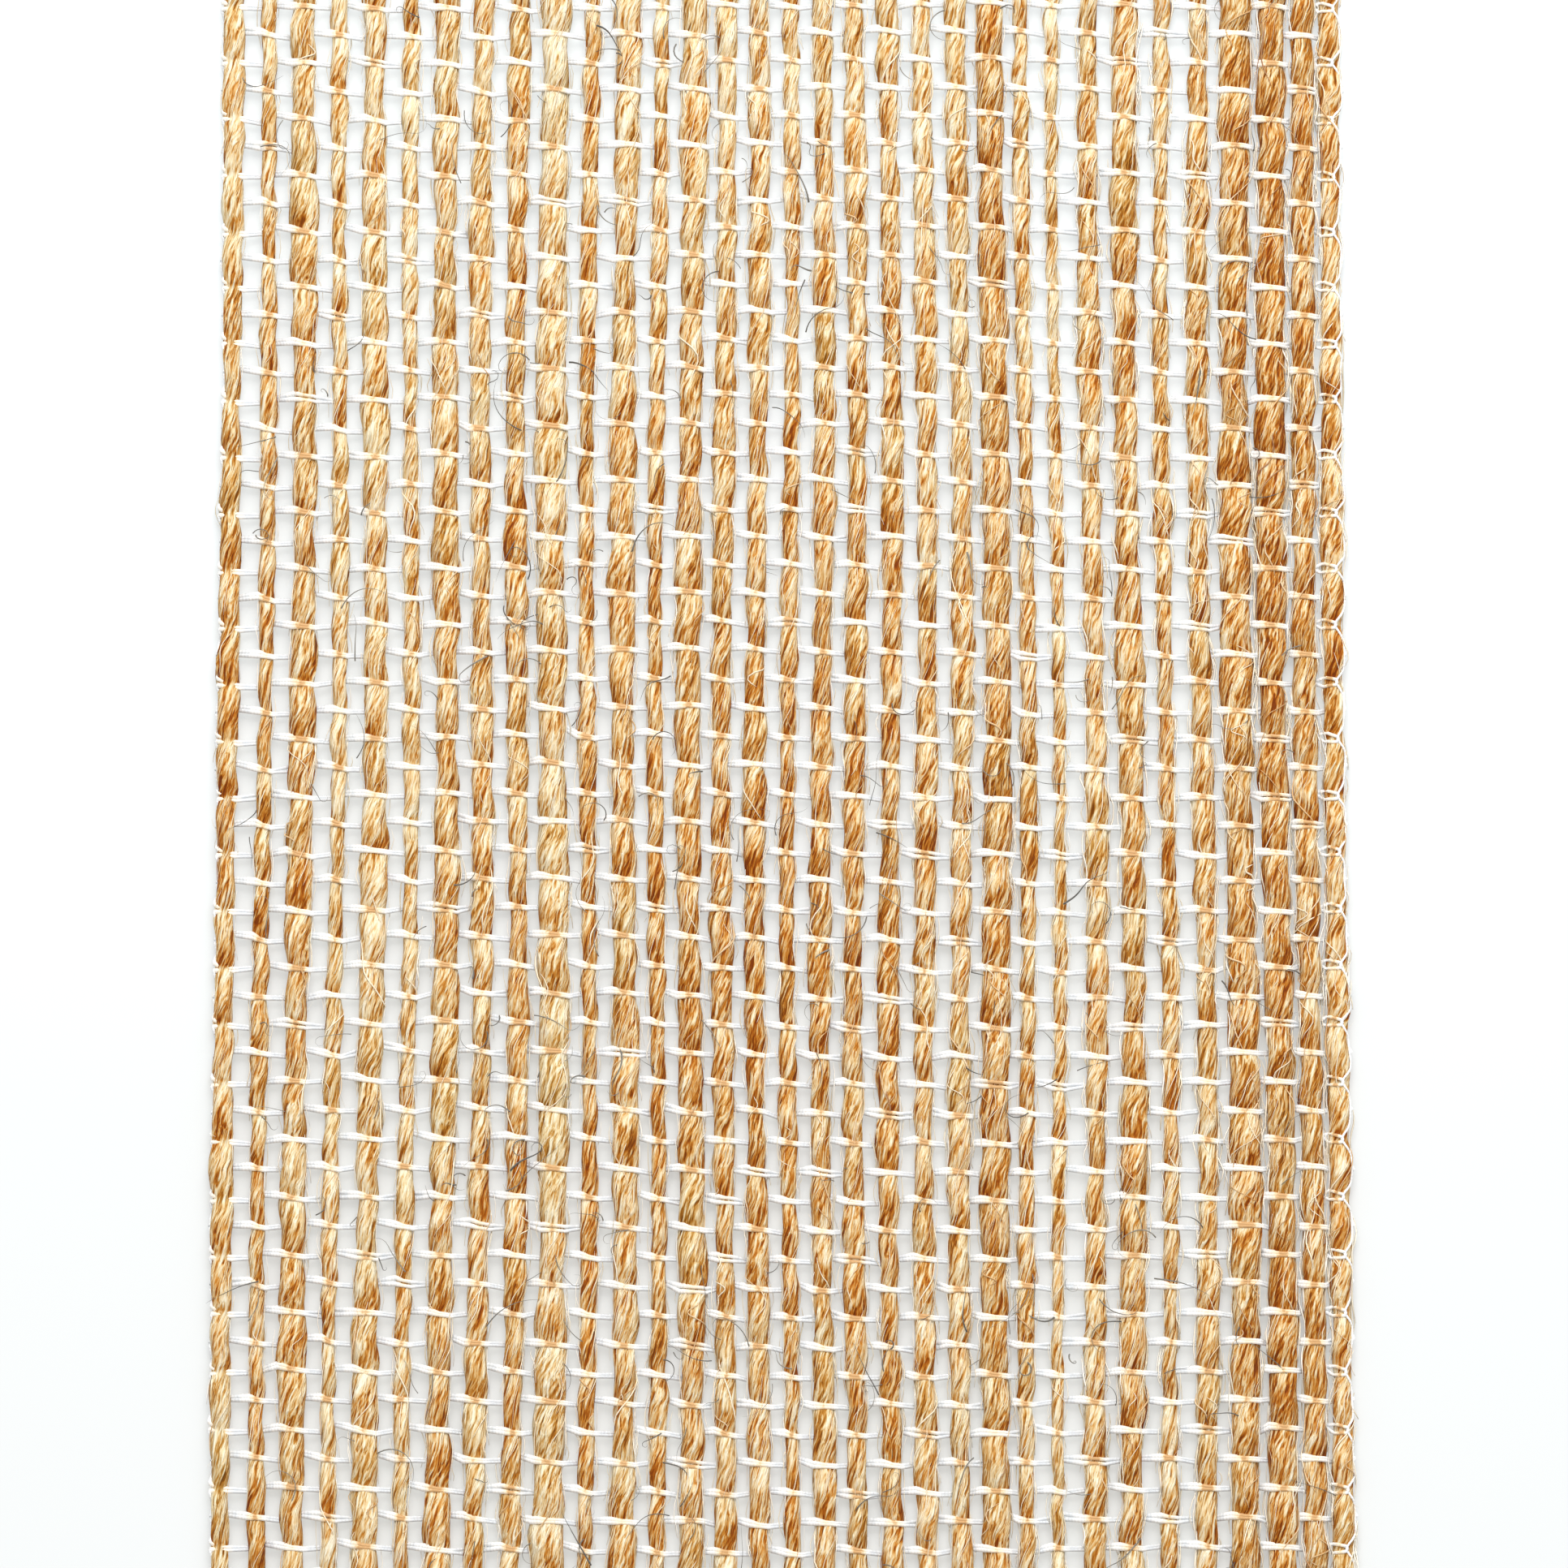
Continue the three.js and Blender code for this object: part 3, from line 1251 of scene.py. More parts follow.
@dataclass(frozen=True)
class Fuzz(Fibres):
    """Short fine fibres that stand off the yarns' sides.

    Attributes:
        angle: How far above or below the yarn's side they start.
        run: How far along the yarn they reach.
        roots: They start this far from the cut ends at least, in rows.
        lift: How far off the yarn their tips lie.
        curl: How late they rise: 1 for evenly.
        depth: How deep in the yarn they start.
        taper: Share of the radius at their roots; their tips have one less.
        tones: How much browner they are.
    """

    name: str = "side_fuzz"
    count: int = 1100
    rings: int = 5
    radius: Range = Range(0.01, 0.018)
    angle: Range = Range(-0.7, 0.7)
    run: Range = Range(0.3, 1.3)
    roots: float = 0.5
    lift: Range = Range(0.1, 0.45)
    curl: Range = Range(0.8, 2.0)
    depth: float = 0.01
    taper: float = 1.1
    tones: Spread = Spread(-0.5, 0.25)

    def bundle(self, draws: Draws) -> Bundle:
        """Lets the fibres stand off the yarns.

        Args:
            draws: Their draws.

        Returns:
            The fibres.
        """
        cloth, share = self.yarns.weave.cloth, draws.share
        yarn = self.on_yarns(draws)
        angle = self.outward(draws) + draws.between(self.angle)
        run = draws.between(self.run) * draws.source.choice([-1.0, 1.0], draws.shape)
        root = draws.between(Range(*cloth.near_ends(self.roots)))
        row = np.clip(root + share * run / cloth.row_pitch, *cloth.near_ends(self.clear))
        lift = draws.between(self.lift) * share ** draws.between(self.curl) - self.depth
        line = self.yarns.weave.surface(yarn, row, angle, lift)
        thick = draws.between(self.radius) * (self.taper - share)
        return Bundle(line, thick, draws.about(self.tones))


@dataclass(frozen=True)
class Hairs(Fibres):
    """Long stray hairs, curved and hooked, that cross the gaps.

    Attributes:
        run: How long they are.
        heading: Which way they start, in radians.
        bend: How far they turn along their length.
        hook: How sharply their ends turn, for the hooked ones.
        hooked: Share of them that is hooked.
        hook_from: Share of their length where the hook begins.
        hook_turn: How many times its sharpness a hook turns over a whole length.
        waver: How far they waver.
        waves: How many waves each has.
        across: Where they lie, in shares of the ribbon's width.
        along: Where they lie, in shares of its length.
        past: How far past the woven edges they reach at most.
        height: How high their ends lie.
        arch: How much higher their middles do.
        coarse: Share of them that is coarse_thick times thicker.
        taper: Share of the radius at one end; the other has one less.
        tones: How much browner they are.
    """

    name: str = "stray_hairs"
    count: int = 430
    rings: int = 14
    radius: Range = Range(0.02, 0.042)
    run: Range = Range(0.8, 3.6)
    heading: Range = Range(0.0, TURN)
    bend: Spread = Spread(0.0, 2.2)
    hook: Range = Range(0.0, 2.0)
    hooked: float = 0.6
    hook_from: float = 0.65
    hook_turn: float = 6
    waver: Range = Range(0.0, 0.5)
    waves: Range = Range(0.3, 1.2)
    across: Range = Range(-0.48, 0.46)
    along: Range = Range(-0.49, 0.49)
    past: float = 0.6
    height: Range = Range(0.9, 1.6)
    arch: float = 0.25
    coarse: float = 0.2
    coarse_thick: float = 1.5
    taper: float = 1.15
    tones: Range = Range(0.0, 1.0)

    def bundle(self, draws: Draws) -> Bundle:
        """Strews the hairs over the cloth.

        Args:
            draws: Their draws.

        Returns:
            The hairs.
        """
        cloth, share = self.yarns.weave.cloth, draws.share
        run = draws.between(self.run)
        heading = draws.between(self.heading) + draws.about(self.bend) * share
        hook = draws.between(self.hook) * (draws.unit() < self.hooked)
        heading = heading + hook * np.maximum(share - self.hook_from, 0) * self.hook_turn
        waver = draws.between(self.waver)
        heading = heading + waver * np.sin(TURN * (draws.between(self.waves) * share + draws.unit()))
        step = run / (self.rings - 1)
        x = np.cumsum(step * np.cos(heading), axis=1)
        y = np.cumsum(step * np.sin(heading), axis=1)
        x += draws.between(self.across) * cloth.width - x.mean(axis=1, keepdims=True)
        y += draws.between(self.along) * cloth.length - y.mean(axis=1, keepdims=True)
        x = np.clip(x, -cloth.width / 2 - self.past, cloth.width / 2 + self.past)
        z = draws.between(self.height) + self.arch * np.sin(math.pi * share)
        thick = draws.between(self.radius) * np.where(draws.unit() < self.coarse, self.coarse_thick, 1.0)
        return Bundle(np.stack([x, y, z], -1), thick * (self.taper - share), draws.between(self.tones))


@dataclass(frozen=True)
class Frayed(Fibres):
    """Fibre ends that stick out of the yarns' cut ends.

    Attributes:
        roots: They start this far inside the cut ends, in rows.
        inside: Share of the way from a yarn's middle to its surface where they start.
        out: How far out they reach.
        spread: How far they spread.
        spread_late: How late they do: 1 for evenly.
        flatter: How much they spread up and down, as a share of that.
        lowest: Height of their middles at least.
        taper: Share of the radius at their roots; their tips have one less.
        tones: How much browner they are.
    """

    name: str = "frayed_ends"
    count: int = 900
    rings: int = 6
    radius: Range = Range(0.018, 0.04)
    roots: float = 0.15
    inside: Range = Range(0.2, 0.95)
    out: Range = Range(0.5, 1.9)
    spread: float = 0.22
    spread_late: float = 1.6
    flatter: float = 0.6
    lowest: float = 0.06
    taper: float = 1.1
    tones: Spread = Spread(-0.1, 0.25)

    def bundle(self, draws: Draws) -> Bundle:
        """Lets the fibres stick out of both cut ends.

        Args:
            draws: Their draws.

        Returns:
            The fibres.
        """
        weave, share = self.yarns.weave, draws.share
        yarn = self.on_yarns(draws)
        at_far_end = draws.source.integers(0, 2, draws.shape) == 0
        row = np.where(at_far_end, *weave.cloth.near_ends(self.roots))
        inside = draws.between(self.inside)
        outer = weave.surface(yarn, row, draws.between(Range(0.0, TURN)))
        s = weave.section(yarn, row)
        core = np.stack([s.x, s.y, s.z], -1)
        root = core + (outer - core) * inside[..., None]
        out = draws.between(self.out) * np.where(at_far_end, 1, -1)
        spread = draws.source.normal(0, self.spread, (*draws.shape, 2))
        spread = spread * (share**self.spread_late)[..., None]
        x = root[..., 0] + spread[..., 0]
        y = root[..., 1] + out * share
        z = np.maximum(root[..., 2] + self.flatter * spread[..., 1], self.lowest)
        thick = draws.between(self.radius) * (self.taper - share)
        return Bundle(np.stack([x, y, z], -1), thick, draws.about(self.tones))


@dataclass
class LooseFibres:
    """All loose fibres. The kinds draw from one source, one after another."""

    yarns: JuteYarns
    kinds: tuple[type[Fibres], ...] = (Wisps, Fringes, Fuzz, Hairs, Frayed)
    seed: int = 41

    def build(self) -> list[bpy.types.Object]:
        """Makes each kind of loose fibre."""
        source = np.random.default_rng(self.seed)
        return [kind(self.yarns).build(source) for kind in self.kinds]


Number = Union[float, "Wire"]
Stops = tuple[tuple[float, Colour], ...]


class Wire:
    """A shader socket that takes part in sums as a number does."""

    def __init__(self, finish: "Finish", socket: bpy.types.NodeSocket) -> None:
        """Wraps a socket of a finish's node tree."""
        self.finish = finish
        self.socket = socket

    def _maths(self, operation: str, first: Number, second: Number) -> "Wire":
        """Adds a Math node."""
        node = self.finish.node("ShaderNodeMath", {"operation": operation}, {0: first, 1: second})
        return Wire(self.finish, node.outputs[0])

    def __add__(self, other: Number) -> "Wire":
        """Sum."""
        return self._maths("ADD", self, other)

    def __radd__(self, other: Number) -> "Wire":
        """Sum, from the right."""
        return self._maths("ADD", other, self)

    def __sub__(self, other: Number) -> "Wire":
        """Difference."""
        return self._maths("SUBTRACT", self, other)

    def __rsub__(self, other: Number) -> "Wire":
        """Difference, from the right."""
        return self._maths("SUBTRACT", other, self)

    def __mul__(self, other: Number) -> "Wire":
        """Product."""
        return self._maths("MULTIPLY", self, other)

    def __rmul__(self, other: Number) -> "Wire":
        """Product, from the right."""
        return self._maths("MULTIPLY", other, self)


class Finish:
    """A material's node tree, with short ways to its usual nodes."""

    def __init__(self, name: str) -> None:
        """Starts an empty material.

        Args:
            name: Its name.
        """
        self.material = bpy.data.materials.new(name)
        self.material.use_nodes = True
        self.tree = self.material.node_tree
        self.tree.nodes.clear()

    def node(self, kind: str, settings: dict[str, object], inputs: dict) -> bpy.types.Node:
        """Adds a node.

        Args:
            kind: The node's type.
            settings: Its own settings, by name, or a ramp's stops.
            inputs: Values or wires of its sockets, by name or number.

        Returns:
            The node.
        """
        made = self.tree.nodes.new(kind)
        for name, value in settings.items():
            if name == "stops":
                self._set_stops(made.color_ramp, value)
            else:
                setattr(made, name, value)
        for name, value in inputs.items():
            if isinstance(value, Wire):
                self.tree.links.new(value.socket, made.inputs[name])
            else:
                made.inputs[name].default_value = value
        return made

    @staticmethod
    def _set_stops(ramp: bpy.types.ColorRamp, stops: Stops) -> None:
        """Gives a ramp its colours.

        Args:
            ramp: The ramp.
            stops: Its places, from 0 to 1, each with a colour.
        """
        while len(ramp.elements) < len(stops):
            ramp.elements.new(0.5)
        for element, (place, colour) in zip(ramp.elements, stops):
            element.position = place
            element.color = colour

    def mark(self, name: str, output: str = "Fac") -> Wire:
        """Reads one of the mesh's marks."""
        return Wire(self, self.node("ShaderNodeAttribute", {"attribute_name": name}, {}).outputs[output])

    def place(self) -> Wire:
        """The place on the object, in metres."""
        return Wire(self, self.node("ShaderNodeTexCoord", {}, {}).outputs["Object"])

    def _cloud(self, place: Wire, scale: Vector, detail: float) -> bpy.types.Node:
        """Adds cloudy noise.

        Args:
            place: Where the noise is read.
            scale: How finely, for each axis.
            detail: How many finer layers it has.

        Returns:
            The noise node.
        """
        stretched = self.node("ShaderNodeMapping", {}, {"Vector": place, "Scale": scale})
        inputs = {"Vector": Wire(self, stretched.outputs[0]), "Scale": 1.0, "Detail": detail}
        return self.node("ShaderNodeTexNoise", {}, inputs)

    def noise(self, place: Wire, scale: Vector, detail: float) -> Wire:
        """Cloudy noise, from 0 to 1."""
        return Wire(self, self._cloud(place, scale, detail).outputs["Fac"])

    def bent(self, place: Wire, scale: Vector, reach: float) -> Wire:
        """Bends a pattern's places to and fro by cloudy noise.

        Args:
            place: The places.
            scale: How finely they bend, for each axis.
            reach: How far they bend, across the fibres.

        Returns:
            The new places.
        """
        cloud = Wire(self, self._cloud(place, scale, 1.0).outputs["Color"])
        centred = self.vector("SUBTRACT", cloud, (0.5, 0.5, 0.5))
        return self.vector("ADD", place, self.vector("MULTIPLY", centred, (2 * reach, 2 * reach, 0.0)))

    def turned(self, place: Wire, turn: float) -> Wire:
        """Turns a pattern's places about Z, further the further along they are.

        Args:
            place: The places.
            turn: Radians for each unit of length.

        Returns:
            The new places.
        """
        along = Wire(self, self.node("ShaderNodeSeparateXYZ", {}, {0: place}).outputs["Z"])
        settings = {"rotation_type": "Z_AXIS"}
        node = self.node("ShaderNodeVectorRotate", settings, {"Vector": place, "Angle": along * turn})
        return Wire(self, node.outputs[0])

    def vector(self, operation: str, first: Union[Wire, Vector], second: Union[Wire, Vector]) -> Wire:
        """Adds a Vector Math node."""
        node = self.node("ShaderNodeVectorMath", {"operation": operation}, {0: first, 1: second})
        return Wire(self, node.outputs[0])

    def ramp(self, value: Wire, stops: Stops) -> Wire:
        """Colours along a value."""
        node = self.node("ShaderNodeValToRGB", {"stops": stops}, {"Fac": value})
        return Wire(self, node.outputs["Color"])

    def blend(self, share: Number, first: Union[Colour, Wire], second: Union[Colour, Wire]) -> Wire:
        """Mixes two colours.

        Args:
            share: Share of the second colour, which is held between 0 and 1.
            first: The first colour.
            second: The second colour.

        Returns:
            The mixed colour.
        """
        settings = {"data_type": "RGBA", "clamp_factor": True}
        node = self.node("ShaderNodeMix", settings, {0: share, 6: first, 7: second})
        return Wire(self, node.outputs[2])

    def bump(self, height: Wire, strength: float, depth: float) -> Wire:
        """Turns a height into a normal."""
        inputs = {"Height": height, "Strength": strength, "Distance": depth}
        return Wire(self, self.node("ShaderNodeBump", {}, inputs).outputs["Normal"])

    def shade(self, inputs: dict) -> bpy.types.Material:
        """Ends the tree in one Principled shader.

        Args:
            inputs: Values or wires of the shader's sockets, by name.

        Returns:
            The material.
        """
        shader = self.node("ShaderNodeBsdfPrincipled", {}, inputs)
        self.node("ShaderNodeOutputMaterial", {}, {"Surface": Wire(self, shader.outputs[0])})
        return self.material


class Layer(NamedTuple):
    """A pattern of fibres: how fine it is on each axis, its detail and its share of the streaks."""

    scale: Vector
    detail: float
    weight: float


@dataclass(frozen=True)
class SpunJute:
    """Loosely spun jute: pale and brown fibres side by side, most of them along the twist.

    A colour stop holds a place on the scale from shaded to sunlit fibre, a golden colour for
    it and the olive one that some lengths of yarn have in its stead.

    Attributes:
        stops: The colour stops.
        lock: Bundles of fibres.
        fibre: Single fibres.
        cross: Fibres that lie across the twist.
        hair: The finest fibres.
        level: What is taken off the sum of the four.
        bend: How finely all of them bend to and fro.
        bend_reach: How far they do.
        cross_turn: How far the crossing fibres turn back, in radians for each millimetre.
        tone_depth: How much darker a tone of one makes the jute. On the yarns, the tone holds painted shade
            as well as their own tones.
        dye: How finely golden and olive lengths of yarn change.
        dye_contrast: How sharply they do.
        dye_level: How far the golden ones prevail.
        dye_tone: How much more golden a tone of one makes them.
        relief: Depth of the bump, in metres.
    """

    stops: tuple[tuple[float, Colour, Colour], ...] = (
        (0.04, from_screen(118, 50, 0), from_screen(114, 68, 8)),
        (0.2, from_screen(156, 80, 6), from_screen(150, 96, 22)),
        (0.37, from_screen(190, 123, 42), from_screen(180, 130, 55)),
        (0.5, from_screen(209, 164, 101), from_screen(202, 166, 108)),
        (0.62, from_screen(223, 193, 143), from_screen(219, 194, 146)),
        (0.78, from_screen(235, 214, 175), from_screen(232, 215, 175)),
        (0.95, from_screen(243, 231, 204), from_screen(242, 232, 203)),
    )
    lock: Layer = Layer((1.5, 1.5, 0.24), 1.0, 0.6)
    fibre: Layer = Layer((6.0, 6.0, 0.42), 2.5, 1.7)
    cross: Layer = Layer((5.0, 5.0, 0.5), 1.5, 0.9)
    hair: Layer = Layer((15.0, 15.0, 1.1), 1.5, 0.9)
    level: float = 1.55
    bend: Vector = (0.8, 0.8, 0.7)
    bend_reach: float = 0.22
    cross_turn: float = -0.55
    tone_depth: float = 0.2
    dye: Vector = (0.25, 0.25, 0.09)
    dye_contrast: float = 3.0
    dye_level: float = 1.4
    dye_tone: float = 0.6
    roughness: float = 0.66
    sheen: float = 0.015
    specular: float = 0.12
    relief: float = 0.00011

    def material(self) -> bpy.types.Material:
        """Builds the finish.

        Returns:
            The material.
        """
        finish = Finish("spun_jute")
        place = finish.bent(finish.mark("fibre", "Vector"), self.bend, self.bend_reach)
        crossing = finish.turned(place, self.cross_turn)
        layers = ((self.lock, place), (self.fibre, place), (self.cross, crossing), (self.hair, place))
        lock, fibre, cross, hair = (finish.noise(at, kind.scale, kind.detail) for kind, at in layers)
        streak = fibre * self.fibre.weight + cross * self.cross.weight + hair * self.hair.weight
        streak = streak + lock * self.lock.weight - self.level
        # The tone mark darkens the jute in two ways: by the yarns' own tones and by the painted shade along
        # each length of yarn.
        tone = streak - finish.mark("tone") * self.tone_depth
        golden = finish.ramp(tone, tuple((place, colour) for place, colour, _ in self.stops))
        olive = finish.ramp(tone, tuple((place, colour) for place, _, colour in self.stops))
        patch = finish.noise(finish.mark("fibre", "Vector"), self.dye, 1.0)
        dye = patch * self.dye_contrast - self.dye_level - finish.mark("tone") * self.dye_tone
        return finish.shade(
            {
                "Base Color": finish.blend(dye, golden, olive),
                "Roughness": self.roughness,
                "Sheen Weight": self.sheen,
                "Specular IOR Level": self.specular,
                "Normal": finish.bump(streak, 1.0, self.relief),
            }
        )


@dataclass(frozen=True)
class LooseJute:
    """Single jute fibres, one colour each.

    Attributes:
        name: The material's name.
        dark: Colour of the brownest fibres.
        middle: Colour of the usual ones.
        pale: Colour of the palest ones.
        places: Where these three lie on the ramp.
        tone_depth: How much darker a tone of one makes a fibre.
        speck: How finely the fibres are specked.
        speck_depth: How strongly they are.
    """

    name: str
    dark: Colour
    middle: Colour
    pale: Colour
    places: Vector = (0.2, 0.5, 0.8)
    tone_depth: float = 0.4
    speck: Vector = (900, 900, 900)
    speck_depth: float = 0.35
    roughness: float = 0.5
    sheen: float = 0.2

    def material(self) -> bpy.types.Material:
        """Builds the finish.

        Returns:
            The material.
        """
        finish = Finish(self.name)
        speck = finish.noise(finish.place(), self.speck, 1.0)
        tone = 0.5 - finish.mark("tone") * self.tone_depth + (speck - 0.5) * self.speck_depth
        colour = finish.ramp(tone, tuple(zip(self.places, (self.dark, self.middle, self.pale))))
        return finish.shade({"Base Color": colour, "Roughness": self.roughness, "Sheen Weight": self.sheen})


@dataclass(frozen=True)
class WhiteThread:
    """Fine white thread with a slight twist.

    It is creamier where jute fibres lie over it. Where it runs beneath the yarns, it is painted grey as
    shade.

    Attributes:
        white: Colour of the tops of its plies.
        shaded: Colour between them.
        cream: Its colour where jute covers it a little.
        buried: Its colour where jute covers it.
        buried_slope: How fast it goes from cream to buried as the cover grows.
        buried_level: How much cover that needs.
        under_shade: Its painted shade colour beneath the yarns.
        under_shade_from: How far it has sunk where the painted shade begins.
        under_shade_over: How much further it has sunk where the painted shade is full.
        ply: Turns of the twist in each millimetre.
        ply_depth: How strongly it shows beside the specks.
        speck: How finely the thread is specked.
        cover: How strongly jute covers it.
        relief: Depth of the bump, in metres.
        relief_share: Strength of the bump.
    """

    white: Colour = from_screen(254, 254, 253)
    shaded: Colour = from_screen(236, 236, 234)
    cream: Colour = from_screen(244, 212, 156)
    buried: Colour = from_screen(204, 158, 102)
    buried_slope: float = 3.0
    buried_level: float = 2.0
    # Painted shade: the grey that the thread takes beneath the yarns.
    under_shade: Colour = from_screen(219, 222, 224)
    under_shade_from: float = 0.38
    under_shade_over: float = 0.18
    ply: float = 5.2
    ply_depth: float = 0.5
    speck: Vector = (6000, 6000, 6000)
    speck_detail: float = 2.0
    cover: float = 0.85
    roughness: float = 0.55
    sheen: float = 0.3
    relief: float = 0.00002
    relief_share: float = 0.5

    def material(self) -> bpy.types.Material:
        """Builds the finish.

        Returns:
            The material.
        """
        finish = Finish("white_thread")
        run = finish.mark("run")
        speck = finish.noise(finish.place(), self.speck, self.speck_detail)
        wave = finish.node("ShaderNodeMath", {"operation": "SINE"}, {0: run * (TURN * self.ply)})
        ply = Wire(finish, wave.outputs[0]) * self.ply_depth + speck
        plain = finish.blend(ply * 0.5, self.shaded, self.white)
        covered = finish.mark("cover") * (speck + 0.5) * self.cover
        thread = finish.blend(covered, plain, self.cream)
        thread = finish.blend(covered * self.buried_slope - self.buried_level, thread, self.buried)
        # Painted shade, which grows as the thread sinks beneath a yarn.
        under_shade = (finish.mark("sunk") - self.under_shade_from) * (1 / self.under_shade_over)
        return finish.shade(
            {
                "Base Color": finish.blend(under_shade, thread, self.under_shade),
                "Roughness": self.roughness,
                "Sheen Weight": self.sheen,
                "Normal": finish.bump(ply, self.relief_share, self.relief),
            }
        )


class Lamp(NamedTuple):
    """A soft lamp: its name, its place and size in metres, and its power in watts."""

    name: str
    place: Vector
    size: tuple[float, float]
    watts: float


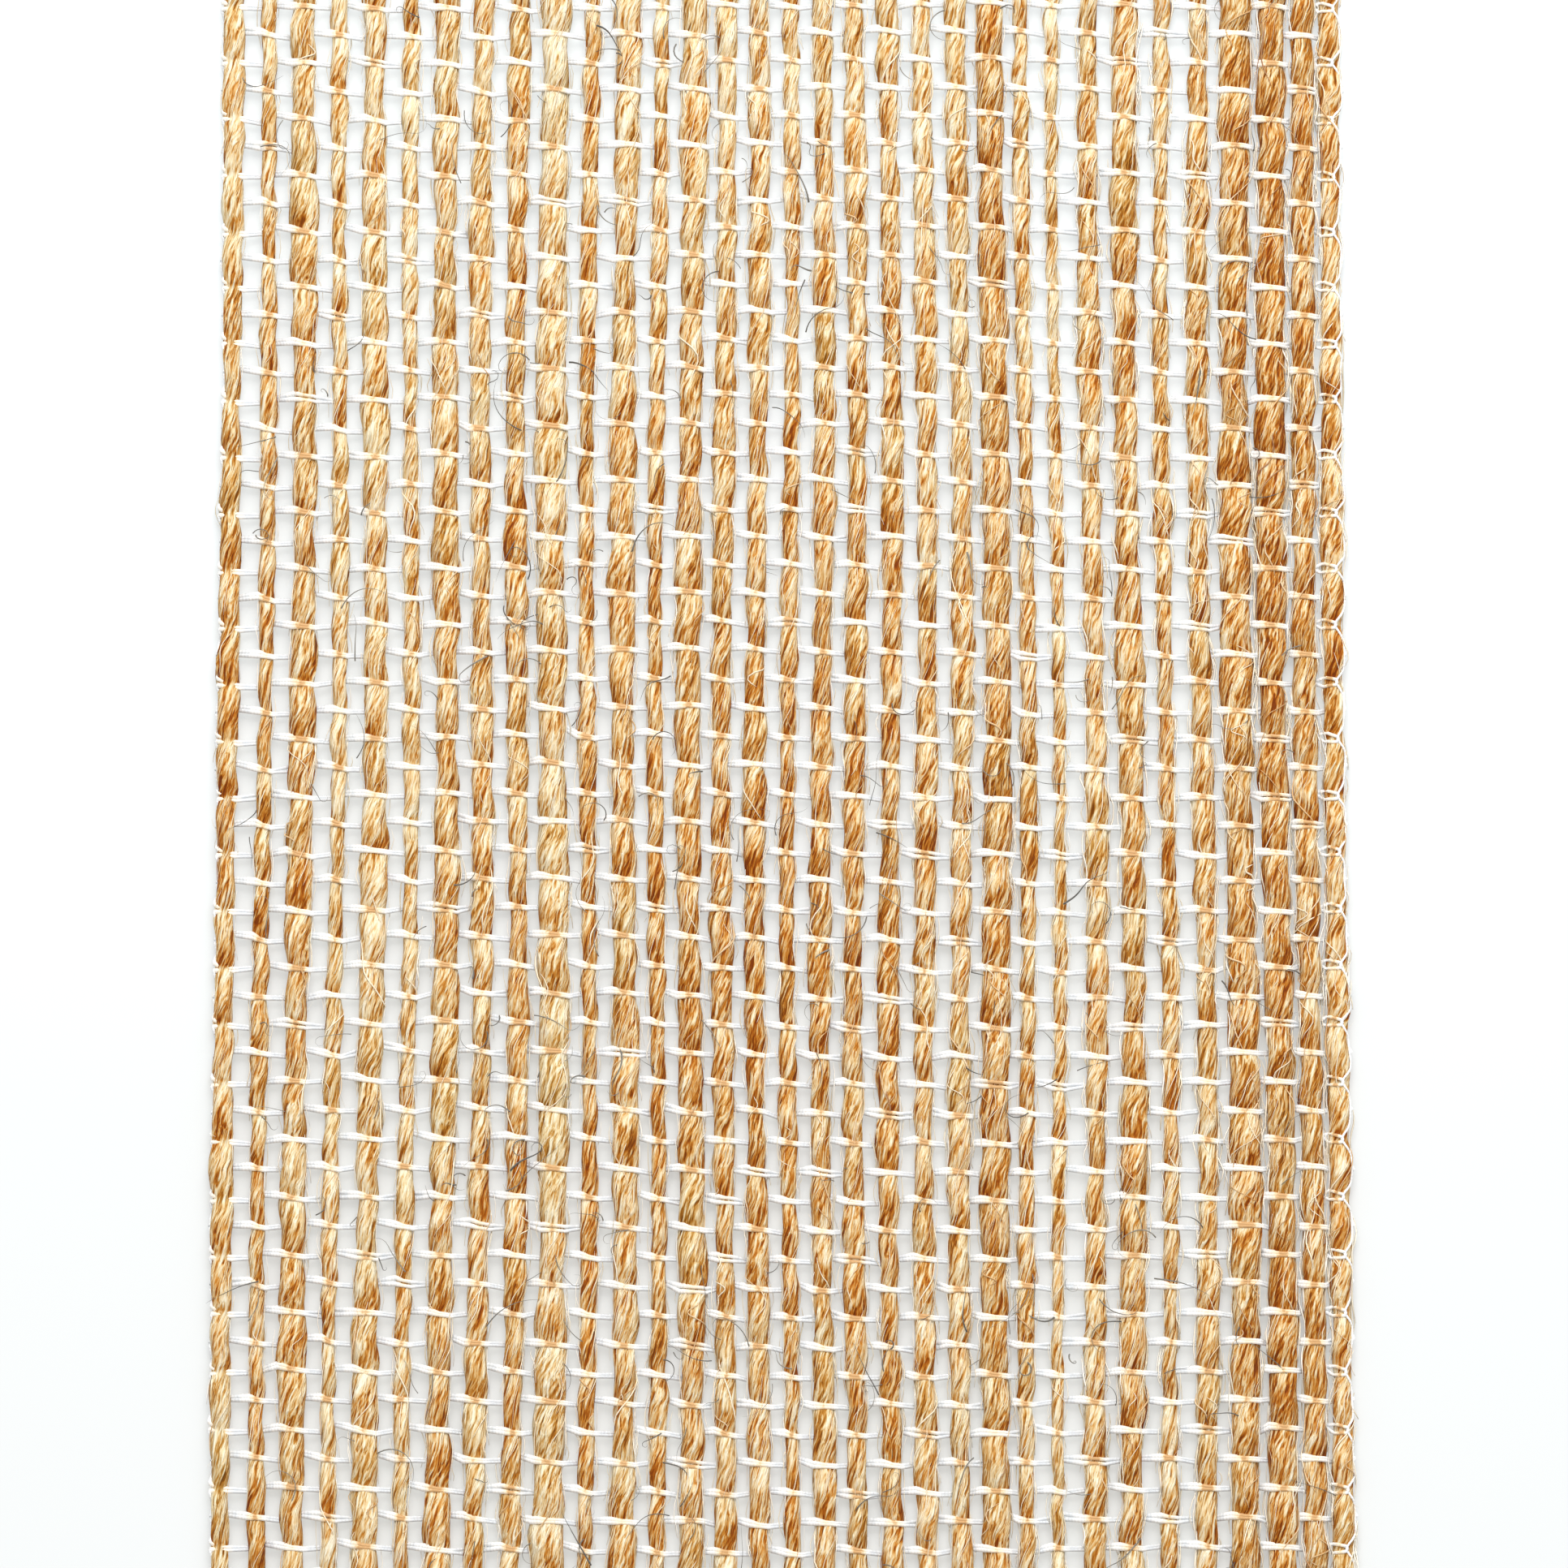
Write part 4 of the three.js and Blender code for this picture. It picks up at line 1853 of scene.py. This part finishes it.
@dataclass(frozen=True)
class Studio:
    """A pale floor that glows softly, soft light, and the camera nearly straight above.

    Attributes:
        frame_width: Width of what the camera shows, in millimetres.
        distance: From the camera to the ribbon, in millimetres.
        lean: How far the camera leans towards the near end.
        aside: How far it stands to the right, in millimetres.
        sensor: Its sensor's width, in millimetres.
        near_clip: Nothing nearer to it than this shows, in metres.
        floor_reach: Half the floor's width, in metres.
        floor_below: How far the floor lies below the ribbon, in metres.
        glow_middle: Where the glow is half way from its near colour to its far one, in metres.
        glow_run: How far it takes from the one to the other, in metres.
        glow: Its strength.
        sky: Strength of the light from all round.
        lamps: The lamps, which all face the ribbon.
    """

    frame_width: float = 87.9
    distance: float = 450.0
    lean: float = math.radians(8.5)
    aside: float = 0.15
    sensor: float = 36.0
    near_clip: float = 0.01
    floor_reach: float = 1.5
    floor_below: float = 0.00004
    floor_colour: Colour = from_screen(174, 175, 175)
    floor_roughness: float = 0.8
    near_glow: Colour = from_screen(217, 220, 218)
    far_glow: Colour = from_screen(240, 249, 253)
    glow_run: float = 0.06
    glow_middle: float = 0.012
    glow: float = 0.54
    sky_colour: Colour = from_screen(250, 252, 255)
    sky: float = 0.6
    lamps: tuple[Lamp, ...] = (
        Lamp("far_light", (0.04, 0.25, 0.30), (0.24, 0.4), 1.45),
        Lamp("top_light", (-0.05, 0.14, 0.8), (0.5, 0.5), 2.15),
    )

    def build(self) -> None:
        """Makes the floor, lights and camera."""
        self._floor()
        self._sky()
        for lamp in self.lamps:
            self._light(lamp)
        self._camera()

    def _floor(self) -> None:
        """Makes the surface that the ribbon lies on."""
        mesh = bpy.data.meshes.new("floor")
        flat = bmesh.new()
        bmesh.ops.create_grid(flat, x_segments=1, y_segments=1, size=self.floor_reach)
        bmesh.ops.translate(flat, verts=flat.verts, vec=(0, 0, -self.floor_below))
        flat.to_mesh(mesh)
        flat.free()
        floor = bpy.data.objects.new("floor", mesh)
        bpy.context.collection.objects.link(floor)
        finish = Finish("pale_floor")
        split = finish.node("ShaderNodeSeparateXYZ", {}, {0: finish.place()})
        farther = (Wire(finish, split.outputs["Y"]) - self.glow_middle) * (1 / self.glow_run) + 0.5
        glow_colour = finish.blend(farther, self.near_glow, self.far_glow)
        surface = {"Base Color": self.floor_colour, "Roughness": self.floor_roughness}
        glow = {"Emission Color": glow_colour, "Emission Strength": self.glow}
        mesh.materials.append(finish.shade(surface | glow))

    def _sky(self) -> None:
        """Makes soft even light from all round."""
        world = bpy.data.worlds.new("sky")
        world.use_nodes = True
        sky = world.node_tree.nodes["Background"]
        sky.inputs["Color"].default_value = self.sky_colour
        sky.inputs["Strength"].default_value = self.sky
        bpy.context.scene.world = world

    @staticmethod
    def _light(lamp: Lamp) -> None:
        """Makes a lamp that faces the ribbon.

        Args:
            lamp: The lamp.
        """
        light = bpy.data.lights.new(lamp.name, "AREA")
        light.shape = "RECTANGLE"
        light.size, light.size_y = lamp.size
        light.energy = lamp.watts
        stand = bpy.data.objects.new(lamp.name, light)
        stand.location = lamp.place
        stand.rotation_euler = (-stand.location).to_track_quat("-Z", "Y").to_euler()
        bpy.context.collection.objects.link(stand)

    def _camera(self) -> None:
        """Sets the view of the photograph."""
        data = bpy.data.cameras.new("camera")
        data.sensor_width = self.sensor
        data.lens = self.sensor * self.distance / self.frame_width
        data.clip_start = self.near_clip
        camera = bpy.data.objects.new("camera", data)
        back = self.distance * MM
        camera.location = (self.aside * MM, -back * math.sin(self.lean), back * math.cos(self.lean))
        camera.rotation_euler = (self.lean, 0, 0)
        bpy.context.collection.objects.link(camera)
        bpy.context.scene.camera = camera
        bpy.context.scene.view_settings.view_transform = "Standard"


@dataclass
class Ribbon:
    """The whole ribbon: its pieces, their finishes and their places in the frame."""

    cloth: Cloth
    fibre: LooseJute = LooseJute(
        "loose_fibre", from_screen(166, 104, 46), from_screen(224, 180, 116), from_screen(252, 238, 208)
    )
    fringe: LooseJute = LooseJute(
        "pale_fringe", from_screen(200, 186, 154), from_screen(240, 230, 208), from_screen(254, 250, 240)
    )
    hair: LooseJute = LooseJute(
        "stray_hair", from_screen(78, 76, 70), from_screen(134, 130, 120), from_screen(188, 182, 168)
    )

    def build(self) -> None:
        """Makes every piece, gives it its finish and ties it to the frame."""
        weave = Weave(self.cloth)
        yarns = JuteYarns(weave)
        spun = yarns.build()
        threads = CrossThreads(weave).build()
        loose = LooseFibres(yarns).build()
        self._dress(spun, SpunJute().material(), Slot.JUTE)
        self._dress(threads, WhiteThread().material(), Slot.THREAD)
        finishes = {"stray_hairs": self.hair.material()}
        finishes["side_fringes"] = finishes["side_fuzz"] = self.fringe.material()
        finishes["loose_wisps"] = finishes["frayed_ends"] = self.fibre.material()
        for piece in loose:
            self._dress([piece], finishes[piece.name], Slot.JUTE)
        self._declare(spun, threads + loose)

    @staticmethod
    def _dress(pieces: list[bpy.types.Object], finish: bpy.types.Material, slot: Slot) -> None:
        """Gives pieces their finish and ties them to the frame.

        Args:
            pieces: The pieces.
            finish: Their finish.
            slot: The record's slot that it stands for.
        """
        for piece in pieces:
            piece.data.materials.append(finish)
            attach(piece, BODY)
            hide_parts(NODE)
            faces = sum(len(face.vertices) - 2 for face in piece.data.polygons)
            LOG.info("%s: %d triangles, %s", piece.name, faces, slot.value)

    def _declare(self, spun: list[bpy.types.Object], others: list[bpy.types.Object]) -> None:
        """Args:
            spun: The groups of yarns, from the left.
            others: Not used.
        """
        for piece in spun:
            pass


def main() -> None:
    """Builds the ribbon and the studio."""
    logging.basicConfig(level=logging.INFO, format="%(name)s %(message)s")
    Ribbon(Cloth()).build()
    Studio().build()


if __name__ == "__main__":
    main()
